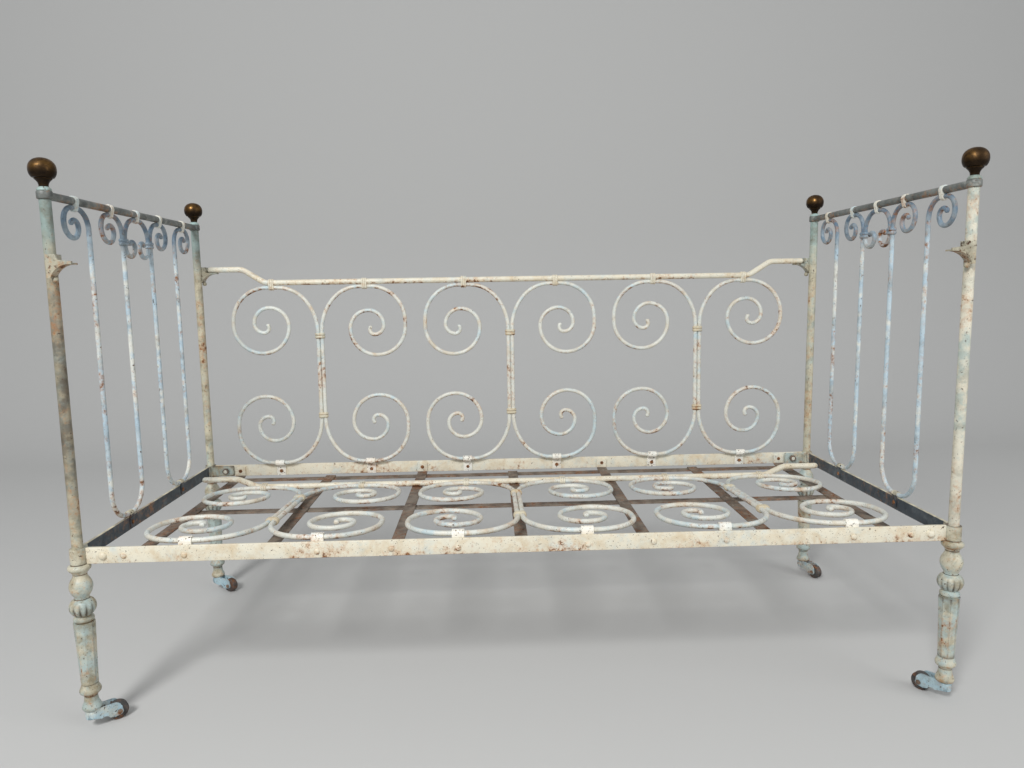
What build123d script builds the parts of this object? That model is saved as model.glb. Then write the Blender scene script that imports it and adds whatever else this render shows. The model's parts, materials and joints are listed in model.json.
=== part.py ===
from build123d import *
import math
import os

# Daybed with folding scrolled sides. Millimetres and degrees.
# X runs along the bed, Y from front to rear, Z up; the floor is at Z = 0 below the middle of the bed.

# Overall layout
post_spacing_x = 1400.0
post_spacing_y = 558.0
seat_gap = 0.3          # between pieces that rest on or pass close to each other
pin_gap = 0.05          # radial clearance of a round piece in its hole

# Casters
wheel_diameter = 30.0
wheel_width = 13.0
wheel_edge = 2.0
hub_diameter = 12.0
hub_gap = 0.4           # between a wheel hub and each cheek
caster_trail = 37.0
caster_height = 32.0    # floor to the underside of the leg
fork_head_diameter = 21.0
fork_head_height = 15.0
cheek_thickness = 3.0
lobe_radius = 11.5
lobe_inset = 7.0        # centre of the lobe short of the axle
lobe_rise = 5.0         # centre of the lobe above the axle
boss_radius = 5.5
cheek_notch_radius = 8.0
cheek_notch_drop = 8.0  # centre of the notch below the axle
stem_diameter = 10.0
stem_length = 42.0
axle_diameter = 5.0
axle_head_diameter = 8.0
axle_head_height = 1.5
caster_turn = {"front_left": 40.0, "front_right": 122.0, "rear_left": -24.0, "rear_right": -66.0}

# Legs: heights from the foot upwards, then diameters
bell_height = 21.0
groove_height = 1.0
foot_ring_height = 19.5
shaft_height = 105.0
flange_height = 6.5
bulb_height = 31.0
ball_height = 37.0
ball_neck_height = 2.0
collar_ring_height = 14.5
socket_neck_height = 1.5
socket_height = 26.0
bell_foot_diameter = 27.5
bell_top_diameter = 20.0
neck_diameter = 19.0
foot_ring_diameter = 31.0
shaft_foot_width = 23.5
shaft_top_width = 29.5
flange_diameter = 25.0
bulb_end_diameter = 23.0
bulb_diameter = 38.5
bulb_core_diameter = 33.5
bulb_lobe_count = 12
bulb_lobe_diameter = 9.0
ball_end_diameter = 22.0
ball_diameter = 33.0
collar_ring_end_diameter = 24.0
collar_ring_diameter = 33.5
socket_diameter = 24.0

# Posts and knobs
post_diameter = 16.5
post_height = 561.0     # from the bottom of the socket to the eye of the top rail
spigot_diameter = 8.0
spigot_engagement = 22.0
eye_height = 12.0
eye_diameter = 22.0
washer_height = 6.0
washer_foot_diameter = 20.0
washer_top_diameter = 13.5
washer_bulge = 1.0
knob_foot_diameter = 13.0
knob_waist_diameter = 15.0
knob_rim_diameter = 24.0
knob_neck_height = 12.0
knob_diameter = 37.5
knob_ball_height = 30.0
knob_ball_sunk = 4.8    # of the ball in its neck
knob_belt_radius = 4.0

# Side rails and end rails, flat bars on edge
rail_thickness = 5.0
side_rail_inset = 2.0   # centre of the side rail inside the line of the posts
end_rail_height = 24.0
end_rail_engagement = 7.0
lug_length = 8.0
lug_width = 11.0
tongue_length = 55.0    # from the post centre
tongue_thickness = 5.0
tongue_height = 24.0
bolt_inset = 38.0       # from the post centre
bolt_diameter = 8.0
bolt_head_diameter = 13.0
bolt_head_height = 5.85
nut_width = 13.0
nut_height = 6.5
bolt_end = 1.0          # shank left past the nut

# Folding sides
side_rod_diameter = 8.8
side_rail_tube_diameter = 12.5
scroll_pair_count = 3
scroll_margin = 52.0         # post centre to the first pair's share of the length
side_scroll_height = 401.5   # hinge axis to the top of the upper scrolls
pair_bar_offset = 4.6        # bar centre to the middle of its pair
drawn_pitch = 432.0          # pitch of the pairs for which the next six sizes are drawn
drawn_clip_offset = 104.0    # hinge and clip to the middle of their pair
drawn_run = 24.0             # straight stretch in a hinge or a clip
drawn_side_run = 11.0
drawn_wide_radius = 30.0     # added to the first part of the bend that leaves the bar
drawn_radii = [77.4, 64.4, 60.0, 42.5, 34.5, 21.5, 11.0, 5.6]
wide_turn = 40.0
collar_end_gap = 3.835       # collar to the end of the straight stretch of its bars
collar_height = 12.5
collar_wall = 1.4
collar_rim = 1.1
collar_rim_height = 5.0
clip_width = 12.0
clip_wall = 2.0
kink_start = 14.0            # past the outermost clip
kink_length = 53.0
kink_rise = 31.0
kink_outward = 12.0
kink_bend_radius = 30.0
rail_end_clearance = 11.5    # end of the rail to the post
upright_lean = 1.0

# Hinges of the sides
hinge_rise = 4.5             # hinge axis above the top of the side rail
hinge_width = 20.0
hinge_thickness = 2.5
hinge_tail = 30.0
hinge_rivet_drop = 20.0      # below the hinge axis

# Catches on the posts
catch_reach = 40.0           # beak tip from the post centre
catch_hump_length = 17.0
catch_hump_rise = 6.0        # above the centre of the rail end
catch_root = 3.0
catch_lip = 4.5
catch_step_length = 3.5      # of the slope down from the hump to the lip
catch_lip_rise = 4.6         # of the lip's root above the shelf
catch_tip_rise = 2.2         # of the beak's lip above its shelf
catch_tip_thickness = 2.5
catch_waist = 0.3            # share of the way in from the beak's tip to its foot
catch_drop = 22.0            # shelf to the foot of the catch
catch_shelf_depth = 13.6
catch_ball_diameter = 9.0

# End panels
end_rod_diameter = 8.0
end_rail_tube_diameter = 12.5
outer_bar_offset = 164.5     # from the middle of the end
inner_bar_offset = 54.0
foot_run = 16.0
end_scroll_run = 16.0
end_scroll_rise = 32.0       # radius from the bar to the top of its scroll
end_scroll_radii = [23.0, 24.0, 17.0, 12.0, 8.5]
crest_side_run = 10.5
crest_radii = [19.2, 17.0, 10.0, 7.5]
end_clip_width = 12.0
end_collar_height = 12.0
foot_clip_width = 13.0
foot_clip_wall = 2.0
foot_clip_drop = 20.0        # below the top of the end rail
foot_rivet_drop = 11.0

# Lattice of flat straps
strap_width = 22.0
strap_thickness = 3.0
cross_strap_count = 7        # long and short in turn, long at both ends
cross_strap_inset = 70.0     # first cross strap from the post centre
lengthwise_inset = 29.0      # outer lengthwise straps from the line of the posts
strap_turn_up = 24.0
strap_rivet_drop = 14.0      # below the top of the side rail

# Rivets
rivet_diameter = 5.0
rivet_head_diameter = 9.5
rivet_head_height = 3.0
rivet_tail_diameter = 8.0
rivet_tail_height = 1.5
lattice_rivet_head_height = 2.2

# Worked out: levels
foot_z = caster_height
socket_z = foot_z + sum([
    bell_height, groove_height, foot_ring_height, groove_height, shaft_height, flange_height,
    bulb_height, groove_height, ball_height, ball_neck_height, collar_ring_height, socket_neck_height,
])
rail_top_z = socket_z + socket_height
hinge_z = rail_top_z + hinge_rise
post_top_z = socket_z + post_height
top_rail_z = post_top_z + eye_height / 2
lattice_top_z = socket_z

# Worked out: plan
post_x = post_spacing_x / 2
post_y = post_spacing_y / 2
post_radius = post_diameter / 2
side_rail_y = post_y - side_rail_inset
side_rail_inner_y = side_rail_y - rail_thickness / 2
side_rail_outer_y = side_rail_y + rail_thickness / 2
side_rod_radius = side_rod_diameter / 2
hinge_bore_radius = side_rod_radius + pin_gap
hinge_outer_radius = hinge_bore_radius + hinge_thickness
hinge_y = side_rail_inner_y - hinge_outer_radius
tube_radius = side_rail_tube_diameter / 2
side_rail_height = side_scroll_height + side_rod_radius + tube_radius + seat_gap
scroll_pair_pitch = (post_spacing_x - 2 * scroll_margin) / scroll_pair_count
scroll_scale = scroll_pair_pitch / drawn_pitch
clip_offset = drawn_clip_offset * scroll_scale
scroll_run = drawn_run * scroll_scale
scroll_side_run = drawn_side_run * scroll_scale
wide_radius = drawn_wide_radius * scroll_scale
scroll_radii = [radius * scroll_scale for radius in drawn_radii]
pair_places = [scroll_pair_pitch * (i - (scroll_pair_count - 1) / 2) for i in range(scroll_pair_count)]
clip_places = [x + side * clip_offset for x in pair_places for side in (-1, 1)]
rail_half_length = post_x - post_radius - rail_end_clearance

# Worked out: swing of the sides
fold_drop = math.degrees(math.asin((hinge_z - lattice_top_z - seat_gap - tube_radius) / side_rail_height))
fold_travel = 90 + fold_drop + upright_lean


# Paths of straight runs and tangent arcs

def run(length):
    return ("run", length, 0.0)


def bend(radius, degrees):
    return ("bend", radius, degrees)


def flat_edges(start, heading, moves, place):
    edges = []
    u, v = start
    angle = math.radians(heading)
    for kind, size, degrees in moves:
        if kind == "run":
            end = (u + size * math.cos(angle), v + size * math.sin(angle))
            edges.append(Line(place(u, v), place(*end)))
        else:
            side = math.copysign(1.0, degrees)
            centre_u = u - side * size * math.sin(angle)
            centre_v = v + side * size * math.cos(angle)
            points = []
            for share in (0.5, 1.0):
                turned_angle = angle + math.radians(degrees) * share
                point_u = centre_u + side * size * math.sin(turned_angle)
                point_v = centre_v - side * size * math.cos(turned_angle)
                points.append((point_u, point_v))
            edges.append(ThreePointArc(place(u, v), place(*points[0]), place(*points[1])))
            end = points[1]
            angle = turned_angle
        u, v = end
    return edges


def rod(edges, diameter):
    path = Wire(edges)
    section = Plane(origin=path @ 0, z_dir=path % 0) * Circle(diameter / 2)
    return sweep(section, path=path)


def on_side(u, v):
    return (u, 0.0, v)


def on_end(u, v):
    return (0.0, u, v)


# Small helpers

def box_between(low, high):
    size = [b - a for a, b in zip(low, high)]
    middle = [(a + b) / 2 for a, b in zip(low, high)]
    return Pos(*middle) * Box(*size)


def pillar(x, y, low, high, diameter):
    return Pos(x, y, (low + high) / 2) * Cylinder(diameter / 2, high - low)


def round_bar(start, end, diameter):
    axis = Vector(*end) - Vector(*start)
    plane = Plane(origin=start, z_dir=axis)
    return plane * Cylinder(diameter / 2, axis.length, align=(Align.CENTER, Align.CENTER, Align.MIN))


def two_circle_plate(near, far, near_radius, far_radius):
    with BuildSketch() as plate:
        with BuildSketch(mode=Mode.PRIVATE) as circles:
            with Locations(near):
                Circle(near_radius)
            with Locations(far):
                Circle(far_radius)
        make_hull(circles.sketch.edges())
    return plate.sketch


def dome(diameter, height):
    radius = (diameter ** 2 / 4 + height ** 2) / (2 * height)
    ball = Pos(0, 0, height - radius) * Sphere(radius)
    return ball & Pos(0, 0, height / 2) * Cylinder(diameter, height)


def rivet(grip, head_height=rivet_head_height):
    body = Pos(0, 0, -grip / 2) * Cylinder(rivet_diameter / 2, grip)
    body += dome(rivet_head_diameter, head_height)
    tail = Cylinder(rivet_tail_diameter / 2, rivet_tail_height)
    return body + Pos(0, 0, -grip - rivet_tail_height / 2) * tail


def turned(base_z, steps):
    edges = []
    radius, z = 0.0, base_z
    for height, low, high, middle in steps:
        if abs(radius - low) > 1e-6:
            edges.append(Line((radius, 0, z), (low, 0, z)))
        if middle is None:
            edges.append(Line((low, 0, z), (high, 0, z + height)))
        else:
            edges.append(ThreePointArc((low, 0, z), (middle, 0, z + height / 2), (high, 0, z + height)))
        radius, z = high, z + height
    edges.append(Line((radius, 0, z), (0, 0, z)))
    edges.append(Line((0, 0, z), (0, 0, base_z)))
    return revolve(Face(Wire(edges)), Axis.Z)


def mirrored(shapes, plane):
    return [mirror(shape, about=plane) for shape in shapes]


def save(name, shapes):
    solids = []
    for shape in shapes:
        solids.extend(shape.solids())
    whole = solids[0] if len(solids) == 1 else Compound(children=solids)
    export_step(whole, f"parts/{name}.step")


# Legs

def leg_casting():
    steps = [
        (bell_height, bell_foot_diameter / 2, bell_top_diameter / 2, None),
        (groove_height, neck_diameter / 2, neck_diameter / 2, None),
        (foot_ring_height, neck_diameter / 2, neck_diameter / 2, foot_ring_diameter / 2),
        (groove_height + shaft_height, neck_diameter / 2, neck_diameter / 2, None),
        (flange_height, flange_diameter / 2, flange_diameter / 2, None),
        (bulb_height, bulb_end_diameter / 2, bulb_end_diameter / 2, bulb_core_diameter / 2),
        (groove_height, ball_end_diameter / 2, ball_end_diameter / 2, None),
        (ball_height, ball_end_diameter / 2, ball_end_diameter / 2, ball_diameter / 2),
        (ball_neck_height, ball_end_diameter / 2, ball_end_diameter / 2, None),
        (collar_ring_height, collar_ring_end_diameter / 2, collar_ring_end_diameter / 2,
         collar_ring_diameter / 2),
        (socket_neck_height + socket_height, socket_diameter / 2, socket_diameter / 2, None),
    ]
    body = turned(foot_z, steps)

    shaft_z = foot_z + bell_height + groove_height + foot_ring_height + groove_height
    shaft_top_z = shaft_z + shaft_height
    foot_section = Pos(0, 0, shaft_z) * RegularPolygon(shaft_foot_width / 2, 8, major_radius=False)
    top_section = Pos(0, 0, shaft_top_z) * RegularPolygon(shaft_top_width / 2, 8, major_radius=False)
    body += loft([foot_section, top_section])

    bulb_z = shaft_top_z + flange_height
    bulb_ends = (bulb_height, bulb_end_diameter / 2, bulb_end_diameter / 2, bulb_diameter / 2)
    rib_radius = bulb_lobe_diameter / 2
    lobes = None
    for place in PolarLocations(bulb_diameter / 2 - rib_radius, bulb_lobe_count):
        lobe = place * pillar(0, 0, bulb_z, bulb_z + bulb_height, bulb_lobe_diameter)
        lobes = lobe if lobes is None else lobes + lobe
    body += lobes & turned(bulb_z, [bulb_ends])

    tongue_y = post_y - side_rail_inner_y
    tongue_z = socket_z + (socket_height - tongue_height) / 2
    body += box_between(
        (0, tongue_y, tongue_z),
        (tongue_length, tongue_y + tongue_thickness, tongue_z + tongue_height),
    )
    lug_end = socket_diameter / 2 + lug_length
    body += box_between((-lug_width / 2, 0, socket_z), (lug_width / 2, lug_end, rail_top_z))
    slot_half = rail_thickness / 2 + pin_gap
    body -= box_between(
        (-slot_half, lug_end - end_rail_engagement - seat_gap, rail_top_z - end_rail_height),
        (slot_half, lug_end + lug_length, rail_top_z + socket_height),
    )
    body -= pillar(0, 0, socket_z, rail_top_z + socket_height, post_diameter + 2 * pin_gap)
    body -= pillar(0, 0, foot_z - stem_length, foot_z + stem_length + seat_gap, stem_diameter + 2 * pin_gap)
    bolt_hole = round_bar((bolt_inset, 0, bolt_z), (bolt_inset, post_y, bolt_z), bolt_diameter + 2 * pin_gap)
    return body - bolt_hole


# Posts, washers and knobs

def post():
    spigot_top = post_top_z + eye_height + washer_height + spigot_engagement
    shank = pillar(0, 0, socket_z, post_top_z, post_diameter)
    return shank + pillar(0, 0, post_top_z, spigot_top, spigot_diameter)


def spigot_hole(low, high):
    return pillar(0, 0, low, high, spigot_diameter + 2 * pin_gap)


def knob_washer():
    low = post_top_z + eye_height
    high = low + washer_height
    bulge = (washer_foot_diameter + washer_top_diameter) / 4 + washer_bulge
    body = turned(low, [(washer_height, washer_foot_diameter / 2, washer_top_diameter / 2, bulge)])
    return body - spigot_hole(low - seat_gap, high + seat_gap)


def post_knob():
    low = post_top_z + eye_height + washer_height
    neck = turned(low, [
        (knob_neck_height, knob_foot_diameter / 2, knob_rim_diameter / 2, knob_waist_diameter / 2),
    ])
    # The ball is a little flattened: two larger spheres overlap to its width and height
    half_height = (knob_ball_height + knob_ball_sunk) / 2
    reach = (knob_diameter / 2) ** 2 / half_height
    sphere_radius = (reach + half_height) / 2
    shift = (reach - half_height) / 2
    ball = Pos(0, 0, -shift) * Sphere(sphere_radius) & Pos(0, 0, shift) * Sphere(sphere_radius)
    ball = fillet(ball.edges().sort_by(SortBy.LENGTH)[-1], knob_belt_radius)
    ball_z = low + knob_neck_height + knob_ball_height - half_height
    body = neck + Pos(0, 0, ball_z) * ball
    return body - spigot_hole(low, low + spigot_engagement + seat_gap)


# Side rails, end rails and end top rails

def side_rail():
    half = post_x - socket_diameter / 2 - seat_gap
    bar = box_between((-half, -side_rail_outer_y, socket_z), (half, -side_rail_inner_y, rail_top_z))
    holes = [(side * (post_x - bolt_inset), bolt_z, bolt_diameter) for side in (-1, 1)]
    holes += [(x, hinge_rivet_z, rivet_diameter) for x in clip_places]
    holes += [(x, strap_rivet_z, rivet_diameter) for x in long_strap_places]
    for x, z, diameter in holes:
        bar -= round_bar((x, -post_y - socket_diameter, z), (x, 0, z), diameter + 2 * pin_gap)
    return bar


def side_rail_bolt():
    grip = rail_thickness + tongue_thickness + nut_height + bolt_end
    shank = Pos(0, 0, -grip / 2) * Cylinder(bolt_diameter / 2, grip)
    return shank + dome(bolt_head_diameter, bolt_head_height)


def side_rail_nut():
    body = extrude(RegularPolygon(nut_width / 2, 6, major_radius=False), nut_height)
    return body - Pos(0, 0, nut_height / 2) * Cylinder(bolt_diameter / 2 + pin_gap, 2 * nut_height)


def end_rail():
    half = post_y - socket_diameter / 2 - lug_length + end_rail_engagement
    low = rail_top_z - end_rail_height
    bar = box_between((-rail_thickness / 2, -half, low), (rail_thickness / 2, half, rail_top_z))
    for y in (-foot_y, foot_y):
        bar -= round_bar((-socket_diameter, y, foot_rivet_z), (socket_diameter, y, foot_rivet_z),
                         rivet_diameter + 2 * pin_gap)
    return bar


def end_top_rail():
    reach = post_y - washer_foot_diameter / 2 - seat_gap
    bar = round_bar((0, -reach, top_rail_z), (0, reach, top_rail_z), end_rail_tube_diameter)
    for y in (-post_y, post_y):
        bar += pillar(0, y, post_top_z, post_top_z + eye_height, eye_diameter)
    for y in (-post_y, post_y):
        bar -= Pos(0, y, 0) * spigot_hole(post_top_z - eye_height, post_top_z + 2 * eye_height)
    return bar


# Scrolled bars, clips and collars of an end

def end_scroll(turn):
    moves = [bend(end_scroll_rise, turn), run(end_scroll_run)]
    return moves + [bend(radius, turn) for radius in end_scroll_radii]


def rear_scroll_bar():
    bar = run(end_scroll_z - end_scroll_rise - foot_rod_z - foot_radius)
    outer = [run(foot_run / 2), bend(foot_radius, 90), bar] + end_scroll(-90)
    inner = [run(foot_run / 2), bend(foot_radius, -90), bar] + end_scroll(-90)
    edges = flat_edges((foot_y, foot_rod_z), 0, outer, on_end)
    edges += flat_edges((foot_y, foot_rod_z), 180, inner, on_end)
    return rod(edges, end_rod_diameter)


def crest_scroll():
    edges = []
    for heading, turn in ((0, -90), (180, 90)):
        moves = [run(end_scroll_run / 2), bend(crest_rise, turn), run(crest_side_run)]
        moves += [bend(radius, turn) for radius in crest_radii]
        edges += flat_edges((0, end_scroll_z), heading, moves, on_end)
    return rod(edges, end_rod_diameter)


def end_top_clip():
    near = (0, top_rail_z)
    far = (0, end_scroll_z)
    rail_radius = end_rail_tube_diameter / 2
    plate = two_circle_plate(near, far, rail_radius + clip_wall, end_rod_diameter / 2 + clip_wall)
    for place, radius in ((near, rail_radius), (far, end_rod_diameter / 2)):
        plate -= Pos(*place) * Circle(radius + pin_gap)
    return extrude(Plane.YZ.rotated((0, 0, 90)) * plate, end_clip_width / 2, both=True)


def grooved_collar(near, far, rod_radius, height):
    body = extrude(two_circle_plate(near, far, rod_radius + collar_wall, rod_radius + collar_wall),
                   height / 2, both=True)
    rim_radius = rod_radius + collar_wall + collar_rim
    rim_step = (height - collar_rim_height) / 2
    for level in (-rim_step, rim_step):
        rim = extrude(two_circle_plate(near, far, rim_radius, rim_radius), collar_rim_height / 2, both=True)
        body += Pos(0, 0, level) * rim
    for place in (near, far):
        body -= Pos(*place, 0) * Cylinder(rod_radius + pin_gap, 2 * height)
    return body


def foot_clip():
    ring_radius = end_rod_diameter / 2 + foot_clip_wall
    leg_half = rail_thickness / 2 + foot_clip_wall
    width = foot_clip_width / 2
    body = round_bar((0, -width, foot_rod_z), (0, width, foot_rod_z), 2 * ring_radius)
    body += box_between((-leg_half, -width, rail_top_z - foot_clip_drop), (leg_half, width, foot_rod_z))
    body -= round_bar((0, -post_y, foot_rod_z), (0, post_y, foot_rod_z), end_rod_diameter + 2 * pin_gap)
    slot_half = rail_thickness / 2 + pin_gap
    body -= box_between((-slot_half, -post_y, socket_z), (slot_half, post_y, rail_top_z + pin_gap))
    hole = round_bar((-post_y, 0, foot_rivet_z), (post_y, 0, foot_rivet_z), rivet_diameter + 2 * pin_gap)
    return body - hole


# Catches

def catch():
    rail_y = catch_y - post_y
    shelf = catch_z - tube_radius - seat_gap
    tip_z = shelf - catch_tip_thickness
    foot = shelf - catch_drop
    lip_x = catch_hump_length + catch_step_length
    waist_x = post_radius + (catch_reach - post_radius) * catch_waist
    waist_z = tip_z + (foot - tip_z) * catch_waist
    outline = [
        Line((catch_root, 0, foot), (catch_root, 0, catch_z + catch_hump_rise)),
        Line((catch_root, 0, catch_z + catch_hump_rise), (catch_hump_length, 0, catch_z + catch_hump_rise)),
        Line((catch_hump_length, 0, catch_z + catch_hump_rise), (lip_x, 0, shelf + catch_lip_rise)),
        Line((lip_x, 0, shelf + catch_lip_rise), (catch_reach, 0, shelf + catch_tip_rise)),
        Line((catch_reach, 0, shelf + catch_tip_rise), (catch_reach, 0, tip_z)),
        ThreePointArc((catch_reach, 0, tip_z), (waist_x, 0, waist_z), (post_radius, 0, foot)),
        Line((post_radius, 0, foot), (catch_root, 0, foot)),
    ]
    lip_inner = -rail_y - tube_radius - seat_gap
    lip_outer = lip_inner - catch_lip
    shelf_end = lip_inner + catch_shelf_depth
    body = extrude(Face(Wire(outline)), shelf_end - lip_outer, dir=(0, 1, 0))
    body = Pos(0, lip_outer, 0) * body
    ball_radius = catch_ball_diameter / 2
    ball_y = (lip_outer + shelf_end) / 2
    body += Pos(post_radius + ball_radius / 2, ball_y, foot - ball_radius / 2) * Sphere(ball_radius)
    body -= box_between(
        (catch_hump_length, lip_inner, shelf),
        (catch_reach + catch_lip, shelf_end + catch_lip, catch_z + catch_drop),
    )
    return body - pillar(0, 0, foot - catch_drop, catch_z + catch_drop, post_diameter + 2 * pin_gap)


# Hinge straps

def hinge_strap(x):
    half = hinge_width / 2
    body = box_between(
        (x - half, -side_rail_inner_y, hinge_z - hinge_tail),
        (x + half, -side_rail_inner_y + hinge_thickness, hinge_z),
    )
    body += round_bar((x - half, -hinge_y, hinge_z), (x + half, -hinge_y, hinge_z), 2 * hinge_outer_radius)
    body -= round_bar((x - hinge_width, -hinge_y, hinge_z), (x + hinge_width, -hinge_y, hinge_z),
                      2 * hinge_bore_radius)
    return body - round_bar((x, -post_y, hinge_rivet_z), (x, 0, hinge_rivet_z), rivet_diameter + 2 * pin_gap)


# Lattice

def long_cross_strap(x):
    half = strap_width / 2
    low = lattice_top_z - strap_thickness
    body = box_between((x - half, -side_rail_inner_y, low), (x + half, side_rail_inner_y, lattice_top_z))
    for side in (-1, 1):
        y_pair = sorted((side * side_rail_inner_y, side * (side_rail_inner_y - strap_thickness)))
        body += box_between((x - half, y_pair[0], low), (x + half, y_pair[1], low + strap_turn_up))
    for y in lengthwise_places:
        body -= pillar(x, y, low - strap_width, low + strap_width, rivet_diameter + 2 * pin_gap)
    return body - round_bar((x, -post_y, strap_rivet_z), (x, post_y, strap_rivet_z),
                            rivet_diameter + 2 * pin_gap)


def short_cross_strap(x):
    half = strap_width / 2
    reach = lengthwise_places[-1] + half
    low = lattice_top_z - strap_thickness
    body = box_between((x - half, -reach, low), (x + half, reach, lattice_top_z))
    for y in lengthwise_places:
        body -= pillar(x, y, low - strap_width, low + strap_width, rivet_diameter + 2 * pin_gap)
    return body


def lengthwise_strap(y):
    half = strap_width / 2
    reach = cross_strap_places[-1] + half
    high = lattice_top_z - strap_thickness
    body = box_between((-reach, y - half, high - strap_thickness), (reach, y + half, high))
    for x in cross_strap_places:
        body -= pillar(x, y, high - strap_width, high + strap_width, rivet_diameter + 2 * pin_gap)
    return body


# A folding side, upright with its hinge axis along X through the origin and its outside towards -Y

def side_tube():
    kink_x = clip_places[-1] + kink_start
    end_x = kink_x + kink_length
    high = side_rail_height + kink_rise
    points = [
        (-rail_half_length + tube_radius, -kink_outward, high),
        (-end_x, -kink_outward, high),
        (-kink_x, 0, side_rail_height),
        (kink_x, 0, side_rail_height),
        (end_x, -kink_outward, high),
        (rail_half_length - tube_radius, -kink_outward, high),
    ]
    body = rod(FilletPolyline(*points, radius=kink_bend_radius).edges(), side_rail_tube_diameter)
    for end in (points[0], points[-1]):
        body += Pos(*end) * Sphere(tube_radius)
    return body


def scroll_bar():
    # The bar leaves its pair on a wide bend that tightens towards the clip
    half_bar = run(half_bar_length)
    edges = []
    for heading, turn in ((90, -1), (-90, 1)):
        moves = [half_bar, bend(tight_radius + wide_radius, turn * wide_turn)]
        moves += [bend(tight_radius, turn * (90 - wide_turn)), run(scroll_run)]
        moves += [bend(scroll_radii[0], turn * 90), run(scroll_side_run)]
        moves += [bend(radius, turn * 90) for radius in scroll_radii[1:]]
        edges += flat_edges((pair_bar_offset, side_scroll_height / 2), heading, moves, on_side)
    return rod(edges, side_rod_diameter)


def side_clip():
    near = (0, side_rail_height)
    far = (0, side_scroll_height)
    plate = two_circle_plate(near, far, tube_radius + clip_wall, side_rod_radius + clip_wall)
    for place, radius in ((near, tube_radius), (far, side_rod_radius)):
        plate -= Pos(*place) * Circle(radius + pin_gap)
    return extrude(Plane.YZ * plate, clip_width / 2, both=True)


def folding_side():
    right_bar = scroll_bar()
    left_bar = mirror(right_bar, about=Plane.YZ)
    clip = side_clip()
    collar = grooved_collar((-pair_bar_offset, 0), (pair_bar_offset, 0), side_rod_radius, collar_height)
    pieces = {"panel_rail": [side_tube()]}
    for name, x in zip(pair_names, pair_places):
        pieces[f"{name}_scrolls"] = [Pos(x, 0, 0) * bar for bar in (left_bar, right_bar)]
    pieces["rail_clips"] = [Pos(x, 0, 0) * clip for x in clip_places]
    collar_reach = half_bar_length - collar_end_gap - collar_height / 2
    collar_levels = [side_scroll_height / 2 + side * collar_reach for side in (-1, 1)]
    pieces["scroll_collars"] = [Pos(x, 0, z) * collar for x in pair_places for z in collar_levels]
    return pieces


# Casters, with the swivel axis along Z through the origin and the wheel trailing towards +X

def caster_fork():
    head_top = foot_z - seat_gap
    head_z = head_top - fork_head_height
    body = pillar(0, 0, head_z, head_top, fork_head_diameter)
    body += pillar(0, 0, head_top, foot_z + stem_length, stem_diameter)
    head_radius = fork_head_height / 2
    lobe = (caster_trail - lobe_inset, axle_z + lobe_rise)
    cheek = two_circle_plate((0, head_top - head_radius), lobe, head_radius, lobe_radius)
    cheek -= Pos(lobe[0] / 2, axle_z - cheek_notch_drop) * Circle(cheek_notch_radius)
    cheek += two_circle_plate(lobe, (caster_trail, axle_z), lobe_radius, boss_radius)
    for side in (-1, 1):
        y = side * (cheek_inner + cheek_thickness / 2)
        body += Pos(0, y, 0) * extrude(Plane.XZ * cheek, cheek_thickness / 2, both=True)
    return body - round_bar((caster_trail, -cheek_outer - cheek_inner, axle_z),
                            (caster_trail, cheek_outer + cheek_inner, axle_z), axle_diameter + 2 * pin_gap)


def caster_axle():
    reach = cheek_outer + axle_head_height
    body = round_bar((caster_trail, -reach, axle_z), (caster_trail, reach, axle_z), axle_diameter)
    for side in (-1, 1):
        body += round_bar((caster_trail, side * cheek_outer, axle_z), (caster_trail, side * reach, axle_z),
                          axle_head_diameter)
    return body


def caster_wheel():
    rim = Cylinder(wheel_diameter / 2, wheel_width)
    rim = fillet(rim.edges().filter_by(GeomType.CIRCLE), wheel_edge)
    rim += Cylinder(hub_diameter / 2, 2 * (cheek_inner - hub_gap))
    rim -= Cylinder(axle_diameter / 2 + pin_gap, 2 * cheek_outer)
    return Pos(caster_trail, 0, axle_z) * Rot(90, 0, 0) * rim


# Worked out: places shared by the functions above
bolt_z = socket_z + socket_height / 2
hinge_rivet_z = hinge_z - hinge_rivet_drop
strap_rivet_z = rail_top_z - strap_rivet_drop
foot_rivet_z = rail_top_z - foot_rivet_drop
foot_y = (outer_bar_offset + inner_bar_offset) / 2
foot_radius = (outer_bar_offset - inner_bar_offset - foot_run) / 2
foot_rod_z = rail_top_z + seat_gap + end_rod_diameter / 2
end_scroll_z = top_rail_z - end_rail_tube_diameter / 2 - seat_gap - end_rod_diameter / 2
crest_side = inner_bar_offset - end_rod_diameter - seat_gap
crest_rise = crest_side - end_scroll_run / 2
crest_collar_z = end_scroll_z - crest_rise - crest_side_run / 2
end_clip_reach = end_scroll_rise + end_scroll_run / 2
end_clip_places = [0.0]
for offset in (inner_bar_offset + end_clip_reach, outer_bar_offset + end_clip_reach):
    end_clip_places += [-offset, offset]
scroll_rise = clip_offset - scroll_run / 2 - pair_bar_offset
wide = math.radians(wide_turn)
tight_radius = scroll_rise - wide_radius * (1 - math.cos(wide))
half_bar_length = side_scroll_height / 2 - tight_radius - wide_radius * math.sin(wide)
pair_names = ["left", "middle", "right"]
cross_strap_pitch = (post_spacing_x - 2 * cross_strap_inset) / (cross_strap_count - 1)
cross_strap_places = [cross_strap_inset - post_x + cross_strap_pitch * i for i in range(cross_strap_count)]
long_strap_places = cross_strap_places[0::2]
short_strap_places = cross_strap_places[1::2]
lengthwise_places = [lengthwise_inset - post_y, 0.0, post_y - lengthwise_inset]
lean = math.radians(upright_lean)
rail_end_height = side_rail_height + kink_rise
catch_y = hinge_y + kink_outward * math.cos(lean) + rail_end_height * math.sin(lean)
catch_z = hinge_z + rail_end_height * math.cos(lean) - kink_outward * math.sin(lean)
axle_z = wheel_diameter / 2
cheek_inner = wheel_width / 2 + hub_gap * 2
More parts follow.
